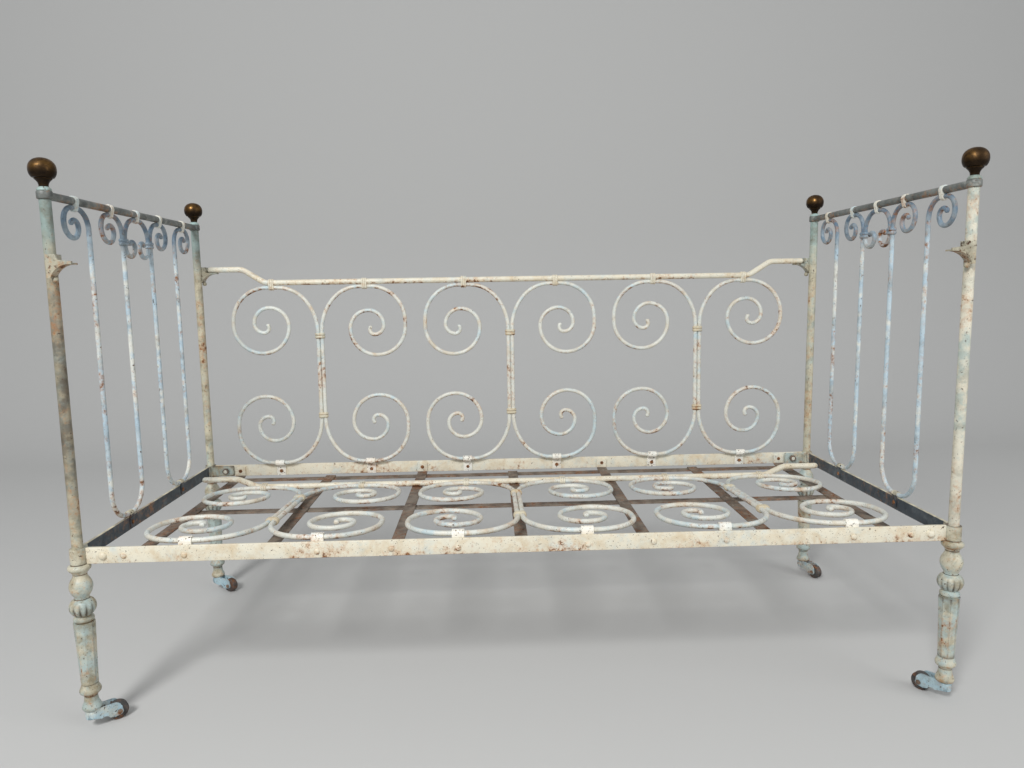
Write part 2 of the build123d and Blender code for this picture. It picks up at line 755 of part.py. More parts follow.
cheek_outer = cheek_inner + cheek_thickness
corners = {"front_left": (-1, -1), "front_right": (1, -1), "rear_left": (-1, 1), "rear_right": (1, 1)}


def at_corner(shape, across, along):
    if across > 0:
        shape = mirror(shape, about=Plane.YZ)
    if along > 0:
        shape = mirror(shape, about=Plane.XZ)
    return Pos(across * post_x, along * post_y, 0) * shape


os.makedirs("parts", exist_ok=True)

# Frame corners
casting = leg_casting()
corner_post = post()
for name, (across, along) in corners.items():
    save(f"{name}_leg", [at_corner(casting, across, along)])
    save(f"{name}_post", [at_corner(corner_post, across, along)])
post_places = [(across * post_x, along * post_y) for across, along in corners.values()]
save("knob_washers", [Pos(x, y, 0) * knob_washer() for x, y in post_places])
save("post_knobs", [Pos(x, y, 0) * post_knob() for x, y in post_places])
post_catch = catch()
for row, along in (("front", -1), ("rear", 1)):
    save(f"{row}_catches", [at_corner(post_catch, across, along) for across in (-1, 1)])

# Rails and their bolts
front_rail = side_rail()
save("front_side_rail", [front_rail])
save("rear_side_rail", mirrored([front_rail], Plane.XZ))
bolts = []
nuts = []
for across in (-1, 1):
    x = across * (post_x - bolt_inset)
    bolts.append(Pos(x, -side_rail_outer_y, bolt_z) * Rot(90, 0, 0) * side_rail_bolt())
    nut_y = -side_rail_inner_y + tongue_thickness
    nuts.append(Pos(x, nut_y, bolt_z) * Rot(-90, 0, 0) * side_rail_nut())
save("side_rail_bolts", bolts + mirrored(bolts, Plane.XZ))
save("side_rail_nuts", nuts + mirrored(nuts, Plane.XZ))

# Ends
rear_bar = rear_scroll_bar()
front_bar = mirror(rear_bar, about=Plane.XZ)
for end, x in (("left", -post_x), ("right", post_x)):
    save(f"{end}_end_rail", [Pos(x, 0, 0) * end_rail()])
    save(f"{end}_top_rail", [Pos(x, 0, 0) * end_top_rail()])
    save(f"{end}_front_scroll_bar", [Pos(x, 0, 0) * front_bar])
    save(f"{end}_rear_scroll_bar", [Pos(x, 0, 0) * rear_bar])
    save(f"{end}_crest_scroll", [Pos(x, 0, 0) * crest_scroll()])
top_clip = end_top_clip()
save("end_top_clips", [Pos(x, y, 0) * top_clip for x in (-post_x, post_x) for y in end_clip_places])
bar_collar = grooved_collar((0, inner_bar_offset), (0, crest_side), end_rod_diameter / 2, end_collar_height)
bar_collar = Pos(0, 0, crest_collar_z) * bar_collar
collars = [bar_collar, mirror(bar_collar, about=Plane.XZ)]
save("end_bar_collars", [Pos(x, 0, 0) * collar for x in (-post_x, post_x) for collar in collars])
clip = foot_clip()
save("end_foot_clips", [Pos(x, y, 0) * clip for x in (-post_x, post_x) for y in (-foot_y, foot_y)])

# Hinge straps and lattice
straps = [hinge_strap(x) for x in clip_places]
save("front_hinge_straps", straps)
save("rear_hinge_straps", mirrored(straps, Plane.XZ))
save("long_cross_straps", [long_cross_strap(x) for x in long_strap_places])
save("short_cross_straps", [short_cross_strap(x) for x in short_strap_places])
save("lengthwise_straps", [lengthwise_strap(y) for y in lengthwise_places])

# Rivets
hinge_rivet = rivet(rail_thickness + hinge_thickness)
strap_rivet = rivet(rail_thickness + strap_thickness)
front_rivets = [(hinge_rivet, x, hinge_rivet_z) for x in clip_places]
front_rivets += [(strap_rivet, x, strap_rivet_z) for x in long_strap_places]
side_rivets = [Pos(x, -side_rail_outer_y, z) * Rot(90, 0, 0) * piece for piece, x, z in front_rivets]
side_rivets += mirrored(side_rivets, Plane.XZ)
foot_rivet = rivet(rail_thickness + 2 * foot_clip_wall)
foot_reach = post_x + rail_thickness / 2 + foot_clip_wall
foot_rivets = []
for side in (-1, 1):
    for y in (-foot_y, foot_y):
        foot_rivets.append(Pos(side * foot_reach, y, foot_rivet_z) * Rot(0, side * 90, 0) * foot_rivet)
save("rail_rivets", side_rivets + foot_rivets)
crossing_rivet = rivet(2 * strap_thickness, lattice_rivet_head_height)
crossings = [(x, y) for x in cross_strap_places for y in lengthwise_places]
save("lattice_rivets", [Pos(x, y, lattice_top_z) * crossing_rivet for x, y in crossings])

# Folding sides: the front one lies folded over the lattice, the rear one stands in its catches
side_pieces = folding_side()
folded = Pos(0, -hinge_y, hinge_z) * Rot(-90 - fold_drop, 0, 0)
standing = Pos(0, hinge_y, hinge_z) * Rot(-upright_lean, 0, 0)
for name, shapes in side_pieces.items():
    save(f"front_{name}", [folded * shape for shape in shapes])
    save(f"rear_{name}", [standing * shape for shape in mirrored(shapes, Plane.XZ)])

# Casters
for name, (across, along) in corners.items():
    place = Pos(across * post_x, along * post_y, 0) * Rot(0, 0, caster_turn[name])
    save(f"{name}_fork", [place * caster_fork()])
    save(f"{name}_axle", [place * caster_axle()])
    save(f"{name}_wheel", [place * caster_wheel()])

print(f"hinge axes at y = -+{hinge_y:.3f}, z = {hinge_z:.3f}; travel {fold_travel:.3f} degrees")
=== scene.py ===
import json
import math
import random
import bmesh
import bpy
from mathutils import Matrix, Quaternion, Vector


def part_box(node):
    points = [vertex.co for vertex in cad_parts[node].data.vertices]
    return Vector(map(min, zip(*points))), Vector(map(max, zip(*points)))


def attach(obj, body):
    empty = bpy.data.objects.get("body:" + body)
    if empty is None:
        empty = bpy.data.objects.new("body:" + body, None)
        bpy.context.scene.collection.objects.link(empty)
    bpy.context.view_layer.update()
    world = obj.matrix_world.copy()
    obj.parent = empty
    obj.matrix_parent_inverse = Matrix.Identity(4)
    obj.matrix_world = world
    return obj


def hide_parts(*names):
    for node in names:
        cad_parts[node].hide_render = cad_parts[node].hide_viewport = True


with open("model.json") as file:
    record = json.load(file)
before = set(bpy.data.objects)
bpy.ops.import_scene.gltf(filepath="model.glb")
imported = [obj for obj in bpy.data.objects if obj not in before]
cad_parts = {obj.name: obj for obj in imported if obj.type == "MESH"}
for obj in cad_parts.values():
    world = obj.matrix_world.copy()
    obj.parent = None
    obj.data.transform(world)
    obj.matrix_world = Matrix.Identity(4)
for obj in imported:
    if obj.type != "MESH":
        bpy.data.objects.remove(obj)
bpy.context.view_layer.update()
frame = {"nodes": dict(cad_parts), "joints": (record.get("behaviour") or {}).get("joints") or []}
cadNodes = frame["nodes"]
joints = {joint["name"]: joint for joint in frame["joints"]}
scene = bpy.context.scene
scene.view_settings.view_transform = "Standard"
print("daybed: frame loaded,", len(cadNodes), "nodes")


# Node trees

class Net:
    # short ways to add nodes to one tree
    def __init__(self, tree):
        self.tree = tree

    def add(self, kind, inputs=None, **settings):
        node = self.tree.nodes.new(kind)
        for name, value in settings.items():
            setattr(node, name, value)
        for name, value in (inputs or {}).items():
            if isinstance(value, bpy.types.NodeSocket):
                self.tree.links.new(value, node.inputs[name])
            else:
                node.inputs[name].default_value = value
        return node.outputs

    def calc(self, operation, *values):
        return self.add("ShaderNodeMath", dict(enumerate(values)), operation=operation)[0]

    def plus(self, a, b):
        return self.calc("ADD", a, b)

    def minus(self, a, b):
        return self.calc("SUBTRACT", a, b)

    def times(self, a, b):
        return self.calc("MULTIPLY", a, b)

    def ramp(self, value, low, high, toLow=0.0, toHigh=1.0):
        inputs = {"Value": value, "From Min": low, "From Max": high, "To Min": toLow, "To Max": toHigh}
        return self.add("ShaderNodeMapRange", inputs, interpolation_type="SMOOTHSTEP")[0]

    def step(self, value, start, width):
        return self.ramp(value, start, self.plus(start, width))

    def mix(self, share, under, over):
        return self.add("ShaderNodeMix", {0: share, 6: under, 7: over}, data_type="RGBA")[2]

    def grain(self, place, scale, detail=4.0, rough=0.6, swirl=0.0):
        inputs = {"Vector": place, "Scale": scale, "Detail": detail, "Roughness": rough, "Distortion": swirl}
        return self.add("ShaderNodeTexNoise", inputs)[0]

    def upward(self, vector):
        return self.add("ShaderNodeSeparateXYZ", {0: vector})[2]

    def mark(self, label):
        return self.add("ShaderNodeAttribute", attribute_name=label)["Fac"]

    def group(self, tree, inputs):
        return self.add("ShaderNodeGroup", inputs, node_tree=tree)

    def give(self, label, value):
        self.tree.links.new(value, self.outs[label])


def newGroup(name, inputs, outputs=None):
    # an input is given by its default, or by its type where it has none
    # without outputs the group is a Geometry Nodes group
    kind = "ShaderNodeTree" if outputs else "GeometryNodeTree"
    if not outputs:
        inputs, outputs = {"Geometry": "Geometry", **inputs}, {"Geometry": "Geometry"}
    net = Net(bpy.data.node_groups.new(name, kind))
    addSocket = net.tree.interface.new_socket
    for label, value in inputs.items():
        typed = isinstance(value, str)
        socketType = value if typed else "Int" if isinstance(value, int) else "Float"
        socket = addSocket(label, in_out="INPUT", socket_type="NodeSocket" + socketType)
        if not typed:
            socket.default_value = value
    for label, socketType in outputs.items():
        addSocket(label, in_out="OUTPUT", socket_type="NodeSocket" + socketType)
    net.ins = net.add("NodeGroupInput")
    net.outs = net.tree.nodes.new("NodeGroupOutput").inputs
    return net


def srgb(red, green, blue):
    shares = [value / 255 for value in (red, green, blue)]
    return tuple(s / 12.92 if s <= 0.04045 else ((s + 0.055) / 1.055) ** 2.4 for s in shares) + (1.0,)


# Shader groups shared by the finishes
agedTones = {
    "darkRust": srgb(80, 52, 33), "paleRust": srgb(152, 101, 60), "grimeAndShade": srgb(70, 54, 39),
    "paintHalo": srgb(186, 128, 74), "ironHalo": srgb(150, 96, 58), "speck": srgb(74, 58, 46),
    "darkChip": srgb(58, 46, 38), "paleChip": srgb(104, 74, 50)}


def newSkin(name, inputs):
    outputs = {"Color": "Color", "Roughness": "Float", "Height": "Float"}
    return newGroup(name, {"Place": "Vector", "Facing": "Vector", **inputs}, outputs)


def makeEdgeRub():
    net = newGroup("edgeRub", {"Place": "Vector", "Rub": 0.5}, {"Mask": "Float", "Crevice": "Float"})
    place = net.ins["Place"]
    pointed = net.add("ShaderNodeNewGeometry")["Pointiness"]
    edge = net.ramp(pointed, 0.52, 0.60)
    broken = net.ramp(net.grain(place, 150.0, 6.0, 0.7), 0.38, 0.62)
    net.give("Mask", net.times(net.times(edge, broken), net.ins["Rub"]))
    # Crevice darkens hollows: dirt and painted shade
    hollow = net.ramp(pointed, 0.49, 0.44)
    patchy = net.ramp(net.grain(place, 60.0, 5.0, 0.65), 0.25, 0.55, 0.35, 1.0)
    net.give("Crevice", net.times(hollow, patchy))
    return net.tree


def makeRustBloom():
    net = newGroup("rustBloom", {"Place": "Vector", "Facing": "Vector", "From": 0.6, "Below": 0.05},
                   {"Rust": "Float", "Halo": "Float", "Color": "Color"})
    place, start = net.ins["Place"], net.ins["From"]
    fine = net.grain(place, 105.0, 8.0, 0.72)
    broad = net.grain(place, 12.0, 4.0, 0.6)
    below = net.times(net.ramp(net.upward(net.ins["Facing"]), 0.1, -0.9), net.ins["Below"])
    field = net.plus(net.times(fine, 0.56), net.times(broad, 0.44))
    field = net.plus(net.plus(field, below), net.mark("worn"))
    net.give("Rust", net.step(field, start, 0.045))
    net.give("Halo", net.step(field, net.minus(start, 0.085), 0.12))
    tone = net.ramp(net.grain(place, 230.0, 4.0, 0.65), 0.36, 0.64)
    net.give("Color", net.mix(tone, agedTones["darkRust"], agedTones["paleRust"]))
    return net.tree


def makePaintSkin(rustBloom):
    net = newSkin("paintSkin", {
        "Rub": 0.0, "Crevice": 0.0, "Coat": "Color", "Older Coat": "Color", "Older From": 0.55,
        "Stain": "Color", "Stain Share": 0.4, "Rust From": 0.6, "Rust Below": 0.05, "Chip From": 0.68,
        "Upper Coat And Painted Light": "Color", "Upper From": 9.0})
    ins, place = net.ins, net.ins["Place"]
    broad = net.times(net.grain(place, 9.0, 4.0, 0.6, 0.4), 0.55)
    patches = net.plus(broad, net.times(net.grain(place, 62.0, 5.0, 0.65), 0.45))
    older = net.times(net.step(patches, ins["Older From"], 0.13), 0.9)
    colour = net.mix(older, ins["Coat"], ins["Older Coat"])
    mottle = net.ramp(net.grain(place, 46.0, 5.0, 0.62), 0.36, 0.66)
    # another colour above a height, and where points are marked: real paint on post tops and foot clip tops,
    # painted shade on the end scroll tops, a painted highlight along the end rails' top edge
    ragged = net.plus(net.upward(place), net.times(patches, 0.12))
    paleCoatAndHighlight = net.times(net.mark("paleCoatAndHighlight"), net.ramp(mottle, 0.0, 1.0, 1.0, 0.75))
    upper = net.calc("MAXIMUM", net.step(ragged, ins["Upper From"], 0.07), paleCoatAndHighlight)
    colour = net.mix(upper, colour, ins["Upper Coat And Painted Light"])
    colour = net.mix(net.times(mottle, 0.25), colour, ins["Older Coat"])
    # stain and dirt, then darkening in hollows and at marked points: dirt and painted shade
    dust = net.ramp(net.grain(place, 30.0, 7.0, 0.72, 0.3), 0.42, 0.72)
    colour = net.mix(net.times(dust, ins["Stain Share"]), colour, ins["Stain"])
    markedGrimeAndShade = net.times(net.mark("grimeAndShade"), net.ramp(mottle, 0.0, 0.8, 0.7, 1.0))
    grimeAndShade = net.calc("MAXIMUM", net.times(ins["Crevice"], 0.8), markedGrimeAndShade)
    colour = net.mix(grimeAndShade, colour, agedTones["grimeAndShade"])
    # chips, specks and rust
    bloom = net.group(rustBloom, {
        "Place": place, "Facing": ins["Facing"], "From": ins["Rust From"], "Below": ins["Rust Below"]})
    colour = net.mix(net.times(bloom["Halo"], 0.5), colour, agedTones["paintHalo"])
    chipFrom = net.minus(ins["Chip From"], net.times(ins["Rub"], 0.2))
    chip = net.step(net.grain(place, 190.0, 5.0, 0.68, 0.4), chipFrom, 0.02)
    colour = net.mix(chip, colour, net.mix(mottle, agedTones["darkChip"], agedTones["paleChip"]))
    speck = net.times(net.step(net.grain(place, 470.0, 2.0, 0.5), 0.67, 0.04), 0.75)
    colour = net.mix(speck, colour, agedTones["speck"])
    net.give("Color", net.mix(bloom["Rust"], colour, bloom["Color"]))
    bare = net.calc("MAXIMUM", bloom["Rust"], chip)
    net.give("Roughness", net.ramp(net.plus(bare, net.times(dust, 0.4)), 0.0, 1.3, 0.44, 0.9))
    lumps = net.times(net.grain(place, 330.0, 3.0, 0.55), 0.45)
    brush = net.times(net.grain(place, 70.0, 3.0, 0.5), 0.5)
    net.give("Height", net.minus(net.plus(lumps, brush), net.times(bare, 0.55)))
    return net.tree


def makeIronSkin(rustBloom):
    net = newSkin("ironSkin", {
        "Scale Skin": "Color", "Dark": "Color", "Rust From": 0.48, "Fleck": "Color", "Fleck From": 0.66})
    ins, place = net.ins, net.ins["Place"]
    skin = net.ramp(net.grain(place, 36.0, 6.0, 0.65, 0.3), 0.35, 0.65)
    colour = net.mix(skin, ins["Dark"], ins["Scale Skin"])
    bloom = net.group(rustBloom, {
        "Place": place, "Facing": ins["Facing"], "From": ins["Rust From"], "Below": 0.03})
    colour = net.mix(net.times(bloom["Halo"], 0.35), colour, agedTones["ironHalo"])
    colour = net.mix(bloom["Rust"], colour, bloom["Color"])
    fleck = net.step(net.grain(place, 88.0, 7.0, 0.72), ins["Fleck From"], 0.03)
    net.give("Color", net.mix(fleck, colour, ins["Fleck"]))
    net.give("Roughness", net.ramp(bloom["Rust"], 0.0, 1.0, 0.62, 0.92))
    net.give("Height", net.plus(net.grain(place, 420.0, 5.0, 0.7), net.times(fleck, 0.4)))
    return net.tree


def makeBrassSkin():
    net = newSkin("brassSkin", {"Rub": 0.0, "Bright": "Color", "Brown": "Color", "Dark": "Color"})
    ins, place = net.ins, net.ins["Place"]
    cloud = net.ramp(net.grain(place, 52.0, 6.0, 0.68, 0.6), 0.34, 0.66)
    spots = net.step(net.grain(place, 260.0, 5.0, 0.7), 0.60, 0.05)
    colour = net.mix(cloud, ins["Brown"], ins["Bright"])
    colour = net.mix(spots, colour, ins["Dark"])
    colour = net.mix(ins["Rub"], colour, ins["Bright"])
    # the underside is painted dark: painted shade and a painted dark reflection
    paintedUnderShade = net.times(net.ramp(net.upward(ins["Facing"]), 0.35, -0.35), 0.9)
    net.give("Color", net.mix(paintedUnderShade, colour, ins["Dark"]))
    dull = net.calc("MAXIMUM", spots, net.minus(1.0, cloud))
    net.give("Roughness", net.ramp(dull, 0.0, 1.0, 0.3, 0.5))
    net.give("Height", net.grain(place, 150.0, 4.0, 0.6))
    return net.tree


edgeRub = makeEdgeRub()
rustBloom = makeRustBloom()
paintSkin = makePaintSkin(rustBloom)
ironSkin = makeIronSkin(rustBloom)
brassSkin = makeBrassSkin()


def makeFinish(name, skin, look, rub=0.0, relief=0.4, metallic=0.0):
    finish = bpy.data.materials.new(name)
    finish.use_nodes = True
    finish.node_tree.nodes.clear()
    net = Net(finish.node_tree)
    coords = net.add("ShaderNodeTexCoord")
    inputs = {**look, "Place": coords["Object"], "Facing": coords["Normal"]}
    if skin != ironSkin:
        worn = net.group(edgeRub, {"Place": coords["Object"], "Rub": rub})
        inputs["Rub"] = worn["Mask"]
    if skin == paintSkin:
        inputs["Crevice"] = worn["Crevice"]
    aged = net.group(skin, inputs)
    bump = net.add("ShaderNodeBump", {"Strength": relief, "Distance": 0.0009, "Height": aged["Height"]})
    shader = net.add("ShaderNodeBsdfPrincipled", {
        "Base Color": aged["Color"], "Roughness": aged["Roughness"], "Metallic": metallic, "Normal": bump[0]})
    net.add("ShaderNodeOutputMaterial", {"Surface": shader[0]})
    return finish


def makePaint(name, coat, older, stain, olderFrom=0.5, stainShare=0.5, rustFrom=0.6, rustBelow=0.07,
              chipFrom=0.65, rub=0.5, upper=None, upperFrom=9.0):
    look = {"Coat": srgb(*coat), "Older Coat": srgb(*older), "Older From": olderFrom, "Stain": srgb(*stain),
            "Stain Share": stainShare, "Rust From": rustFrom, "Rust Below": rustBelow, "Chip From": chipFrom}
    if upper:
        look.update({"Upper Coat And Painted Light": srgb(*upper), "Upper From": upperFrom})
    return makeFinish(name, paintSkin, look, rub)


postLook = {
    "coat": (207, 198, 171), "older": (176, 190, 183), "stain": (106, 99, 76), "olderFrom": 0.48,
    "stainShare": 0.72, "rustFrom": 0.59, "chipFrom": 0.635, "rub": 0.55, "upper": (156, 180, 176),
    "upperFrom": 0.79}
# a lighter, cleaner copy of the post paint for the front-right post: partly cleaner paint, partly painted
# light
cleanAndLitLook = {**postLook, "coat": (224, 217, 197), "stainShare": 0.45, "rub": 0.5, "upper": None}
railLook = {
    "coat": (228, 221, 200), "older": (208, 213, 205), "stain": (194, 164, 116), "stainShare": 0.52,
    "rustFrom": 0.61}
plateLook = {**railLook, "coat": (243, 239, 227), "older": (226, 229, 222), "stainShare": 0.35}
rivetLook = {**railLook, "stainShare": 0.75, "rustFrom": 0.565, "rub": 0.4}

ivoryPaint = makePaint("ivoryPaint", coat=(208, 198, 172), older=(184, 194, 186), stain=(176, 146, 98),
                       stainShare=0.55, rustFrom=0.585, rub=0.55)
postPaint = makePaint("postPaint", **postLook)
cleanAndLitPaint = makePaint("cleanAndLitPaint", **cleanAndLitLook)
railPaint = makePaint("railPaint", **railLook)
legPaint = makePaint("legPaint", coat=(202, 195, 172), older=(168, 186, 184), stain=(126, 112, 80),
                     olderFrom=0.455, stainShare=0.78, chipFrom=0.63, rub=0.6)
scrollPaint = makePaint("scrollPaint", coat=(221, 220, 209), older=(188, 207, 212), stain=(186, 158, 112),
                        olderFrom=0.48, rustFrom=0.59, rustBelow=0.06, chipFrom=0.66, rub=0.35)
# the dark blue upper colour on the end scroll tops is partly real paint, partly painted shade under the top
# rail
slatePaint = makePaint("slatePaint", coat=(178, 200, 212), older=(222, 221, 210), stain=(98, 102, 98),
                       olderFrom=0.465, stainShare=0.55, rustFrom=0.585, rustBelow=0.05, chipFrom=0.635,
                       rub=0.4, upper=(92, 117, 138), upperFrom=0.80)
# greyPaint and darkPaint are darkened: their own paint and painted shade
greyPaint = makePaint("greyPaint", coat=(92, 97, 95), older=(176, 178, 170), stain=(52, 52, 48),
                      olderFrom=0.54, stainShare=0.6, rustBelow=0.05, chipFrom=0.64, rub=0.4)
# the pale upper colour is a painted highlight on the end rails and real paint on the foot clip tops
darkPaint = makePaint("darkPaint", coat=(50, 61, 70), older=(96, 104, 108), stain=(40, 42, 44),
                      olderFrom=0.52, stainShare=0.6, rustFrom=0.615, rustBelow=0.04, chipFrom=0.63,
                      upper=(230, 221, 192))
bluePaint = makePaint("bluePaint", coat=(164, 192, 203), older=(202, 206, 196), stain=(112, 112, 104),
                      rustFrom=0.615, rustBelow=0.05, chipFrom=0.645, rub=0.35)
platePaint = makePaint("platePaint", **plateLook)
rivetPaint = makePaint("rivetPaint", **rivetLook)
strapLook = {
    "Scale Skin": srgb(128, 117, 104), "Dark": srgb(84, 72, 62), "Rust From": 0.56,
    "Fleck": srgb(170, 164, 148), "Fleck From": 0.665}
wheelLook = {
    "Scale Skin": srgb(84, 82, 80), "Dark": srgb(44, 42, 41), "Rust From": 0.57,
    "Fleck": srgb(150, 166, 170), "Fleck From": 0.69}
# the brass colours are darkened: the metal's own tone and a painted dark reflection
brassLook = {"Bright": srgb(124, 92, 50), "Brown": srgb(66, 49, 30), "Dark": srgb(32, 25, 19)}
rustyIron = makeFinish("rustyIron", ironSkin, strapLook, relief=0.5)
darkIron = makeFinish("darkIron", ironSkin, wheelLook, relief=0.45)
agedBrass = makeFinish("agedBrass", brassSkin, brassLook, rub=0.3, relief=0.15, metallic=0.9)
print("daybed: finishes made")


# Mesh helpers

def meshFrom(form):
    mesh = bpy.data.meshes.new("piece")
    form.to_mesh(mesh)
    form.free()
    return mesh


def smoothFaces(mesh, sharpAngle=38.0):
    mesh.polygons.foreach_set("use_smooth", [True] * len(mesh.polygons))
    mesh.set_sharp_from_angle(angle=math.radians(sharpAngle))
    return mesh


def joinMeshes(meshes):
    form = bmesh.new()
    for mesh in meshes:
        form.from_mesh(mesh)
        bpy.data.meshes.remove(mesh)
    return smoothFaces(meshFrom(form))


def markPoints(mesh, label, valueAt):
    # writes a value per point for the finishes to read; valueAt takes the point's height
    marks = mesh.attributes.new(label, "FLOAT", "POINT")
    marks.data.foreach_set("value", [valueAt(vert.co.z) for vert in mesh.vertices])


def showPiece(name, node, mesh, finish, body="frame"):
    mesh.name = name
    mesh.materials.clear()
    mesh.materials.append(finish)
    piece = bpy.data.objects.new(name, mesh)
    scene.collection.objects.link(piece)
    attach(piece, body)
    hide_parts(node)


def ringForm(count, around, pointAt):
    # a closed skin over rings of points; pointAt takes a ring's index and an angle
    form = bmesh.new()
    rows = []
    for index in range(count):
        angles = [2 * math.pi * k / around for k in range(around)]
        rows.append([form.verts.new(pointAt(index, angle)) for angle in angles])
    for low, high in zip(rows, rows[1:]):
        for k in range(around):
            form.faces.new((low[k], low[(k + 1) % around], high[(k + 1) % around], high[k]))
    form.faces.new(list(reversed(rows[0])))
    form.faces.new(rows[-1])
    return form


def turnedForm(rings, around=40, shape=None):
    # rings are (height, radius); shape gives a factor on the radius for an angle and a ring's index
    def pointAt(index, angle):
        height, radius = rings[index]
        reach = radius * (shape(angle, index) if shape else 1.0)
        return (reach * math.cos(angle), reach * math.sin(angle), height)

    return ringForm(len(rings), around, pointAt)


def beadStations(height, wall, rim, beads, steps=6):
    lip = wall * 0.4
    count = beads * steps
    stations = [(-height / 2, lip)]
    for k in range(count + 1):
        share = k / count
        swell = abs(math.sin(math.pi * beads * share)) ** 0.7
        stations.append((height * (share - 0.5) * 0.97, wall + rim * swell))
    return stations + [(height / 2, lip)]


def bandMesh(halfGap, nearRadius, farRadius, bead, around=36):
    # a beaded band round two bars that lie half a gap to either side of its middle
    stations = beadStations(**bead)

    def pointAt(index, angle):
        along, proud = stations[index]
        out = Vector((math.cos(angle), math.sin(angle)))
        nearer = halfGap * out.y + nearRadius > -halfGap * out.y + farRadius
        middle, radius = (halfGap, nearRadius) if nearer else (-halfGap, farRadius)
        return (out.x * (radius + proud), middle + out.y * (radius + proud), along)

    form = ringForm(len(stations), around, pointAt)
    bmesh.ops.recalc_face_normals(form, faces=form.faces)
    return meshFrom(form)


def roundedBox(form, low, high, radius, segments=2, longEdge=0.006, cuts=5):
    size = [b - a for a, b in zip(low, high)]
    middle = [(a + b) / 2 for a, b in zip(low, high)]
    place = Matrix.Translation(middle) @ Matrix.Diagonal((*size, 1.0))
    made = bmesh.ops.create_cube(form, size=1.0, matrix=place)
    edges = list(dict.fromkeys(edge for vert in made["verts"] for edge in vert.link_edges))
    made = bmesh.ops.bevel(form, geom=edges, offset=radius, segments=segments, profile=0.5, affect="EDGES")
    edges = dict.fromkeys(edge for face in made["faces"] for edge in face.edges)
    longEdges = [edge for edge in edges if edge.calc_length() > longEdge]
    bmesh.ops.subdivide_edges(form, edges=longEdges, cuts=cuts, use_grid_fill=True)


def softCopy(node, radius, segments=2, minLength=0.004, minAngle=28.0, flatAngle=0.5):
    # a merged copy of a CAD mesh with its long edges eased
    form = bmesh.new()
    form.from_mesh(cadNodes[node].data)
    bmesh.ops.remove_doubles(form, verts=form.verts, dist=1e-6)
    bmesh.ops.dissolve_limit(
        form, angle_limit=math.radians(flatAngle), verts=form.verts, edges=form.edges)
    hard = [
        edge for edge in form.edges
        if len(edge.link_faces) == 2 and edge.calc_length() > minLength
        and edge.calc_face_angle() > math.radians(minAngle)]
    bmesh.ops.bevel(
        form, geom=hard, offset=radius, segments=segments, profile=0.5, affect="EDGES", clamp_overlap=True)
    bmesh.ops.triangulate(form, faces=[face for face in form.faces if len(face.verts) > 4])
    return smoothFaces(meshFrom(form))


# Paths of straight runs and bends, as the bars are bent cold

def run(length):
    return (length, 0)


def bend(radius, degrees):
    return (radius, degrees)


def flatPath(start, heading, moves, bendStep=7.5, runStep=0.008):
    points = [Vector(start)]
    angle = math.radians(heading)
    for size, degrees in moves:
        u, v = points[-1]
        if degrees == 0:
            count = max(1, round(size / runStep))
            for k in range(1, count + 1):
                reach = size * k / count
                points.append(Vector((u + reach * math.cos(angle), v + reach * math.sin(angle))))
        else:
            side = math.copysign(1.0, degrees)
            middle = Vector((u - side * size * math.sin(angle), v + side * size * math.cos(angle)))
            count = max(2, round(abs(degrees) / bendStep))
            for k in range(1, count + 1):
                turned = angle + math.radians(degrees) * k / count
                points.append(middle + side * size * Vector((math.sin(turned), -math.cos(turned))))
            angle += math.radians(degrees)
    return points


def doublePath(start, headings, moveLists):
    first, second = [flatPath(start, heading, moves) for heading, moves in zip(headings, moveLists)]
    return list(reversed(first)) + second[1:]


def easeCorners(points, radius, steps=8):
    made = [points[0]]
    for before, corner, after in zip(points, points[1:], points[2:]):
        toBefore = (before - corner).normalized()
        toAfter = (after - corner).normalized()
        half = toBefore.angle(toAfter) / 2
        reach = radius / math.tan(half)
        middle = corner + (toBefore + toAfter).normalized() * (radius / math.sin(half))
        startArm = corner + toBefore * reach - middle
        endArm = corner + toAfter * reach - middle
        shares = [k / steps for k in range(steps + 1)]
        made += [middle + startArm.slerp(endArm, share).normalized() * radius for share in shares]
    return made + [points[-1]]


def fillRuns(points, runStep=0.012):
    made = [points[0]]
    for a, b in zip(points, points[1:]):
        count = max(1, round((b - a).length / runStep))
        made += [a.lerp(b, k / count) for k in range(1, count + 1)]
    return made


def straightPath(start, end):
    return fillRuns([Vector(start), Vector(end)])


def denseEnds(path, reach):
    # closer points along both tips, so that they come out rounded
    shares = (0.04, 0.12, 0.25, 0.45, 0.7)
    for end in range(2):
        start, toward = path[0], (path[1] - path[0]).normalized()
        kept = [point for point in path[1:] if (point - start).length > reach]
        tip = [start] + [start + toward * reach * share for share in shares] + [start + toward * reach]
        path = tip + kept
        path.reverse()
    return path


def lineObject(paths):
    points, edges = [], []
    for path in paths:
        first = len(points)
        points += path
        edges += [(first + k, first + k + 1) for k in range(len(path) - 1)]
    mesh = bpy.data.meshes.new("guide")
    mesh.from_pydata(points, edges, [])
    guide = bpy.data.objects.new("guide", mesh)
    scene.collection.objects.link(guide)
    return guide


# Geometry Nodes: a round bar along a path, a flat bar along a path, and shapes set on seats

def addDents(net, geometry):
    inputs = {
        "Vector": net.add("GeometryNodeInputPosition")[0], "W": net.ins["Seed"],
        "Scale": net.calc("DIVIDE", 1.0, net.ins["Dent Size"]), "Detail": 2.0}
    field = net.add("ShaderNodeTexNoise", inputs, noise_dimensions="4D")[0]
    push = net.times(net.minus(field, 0.5), net.times(net.ins["Dent Depth"], 2.0))
    normal = net.add("GeometryNodeInputNormal")[0]
    offset = net.add("ShaderNodeVectorMath", {0: normal, "Scale": push}, operation="SCALE")[0]
    return net.add("GeometryNodeSetPosition", {"Geometry": geometry, "Offset": offset})[0]


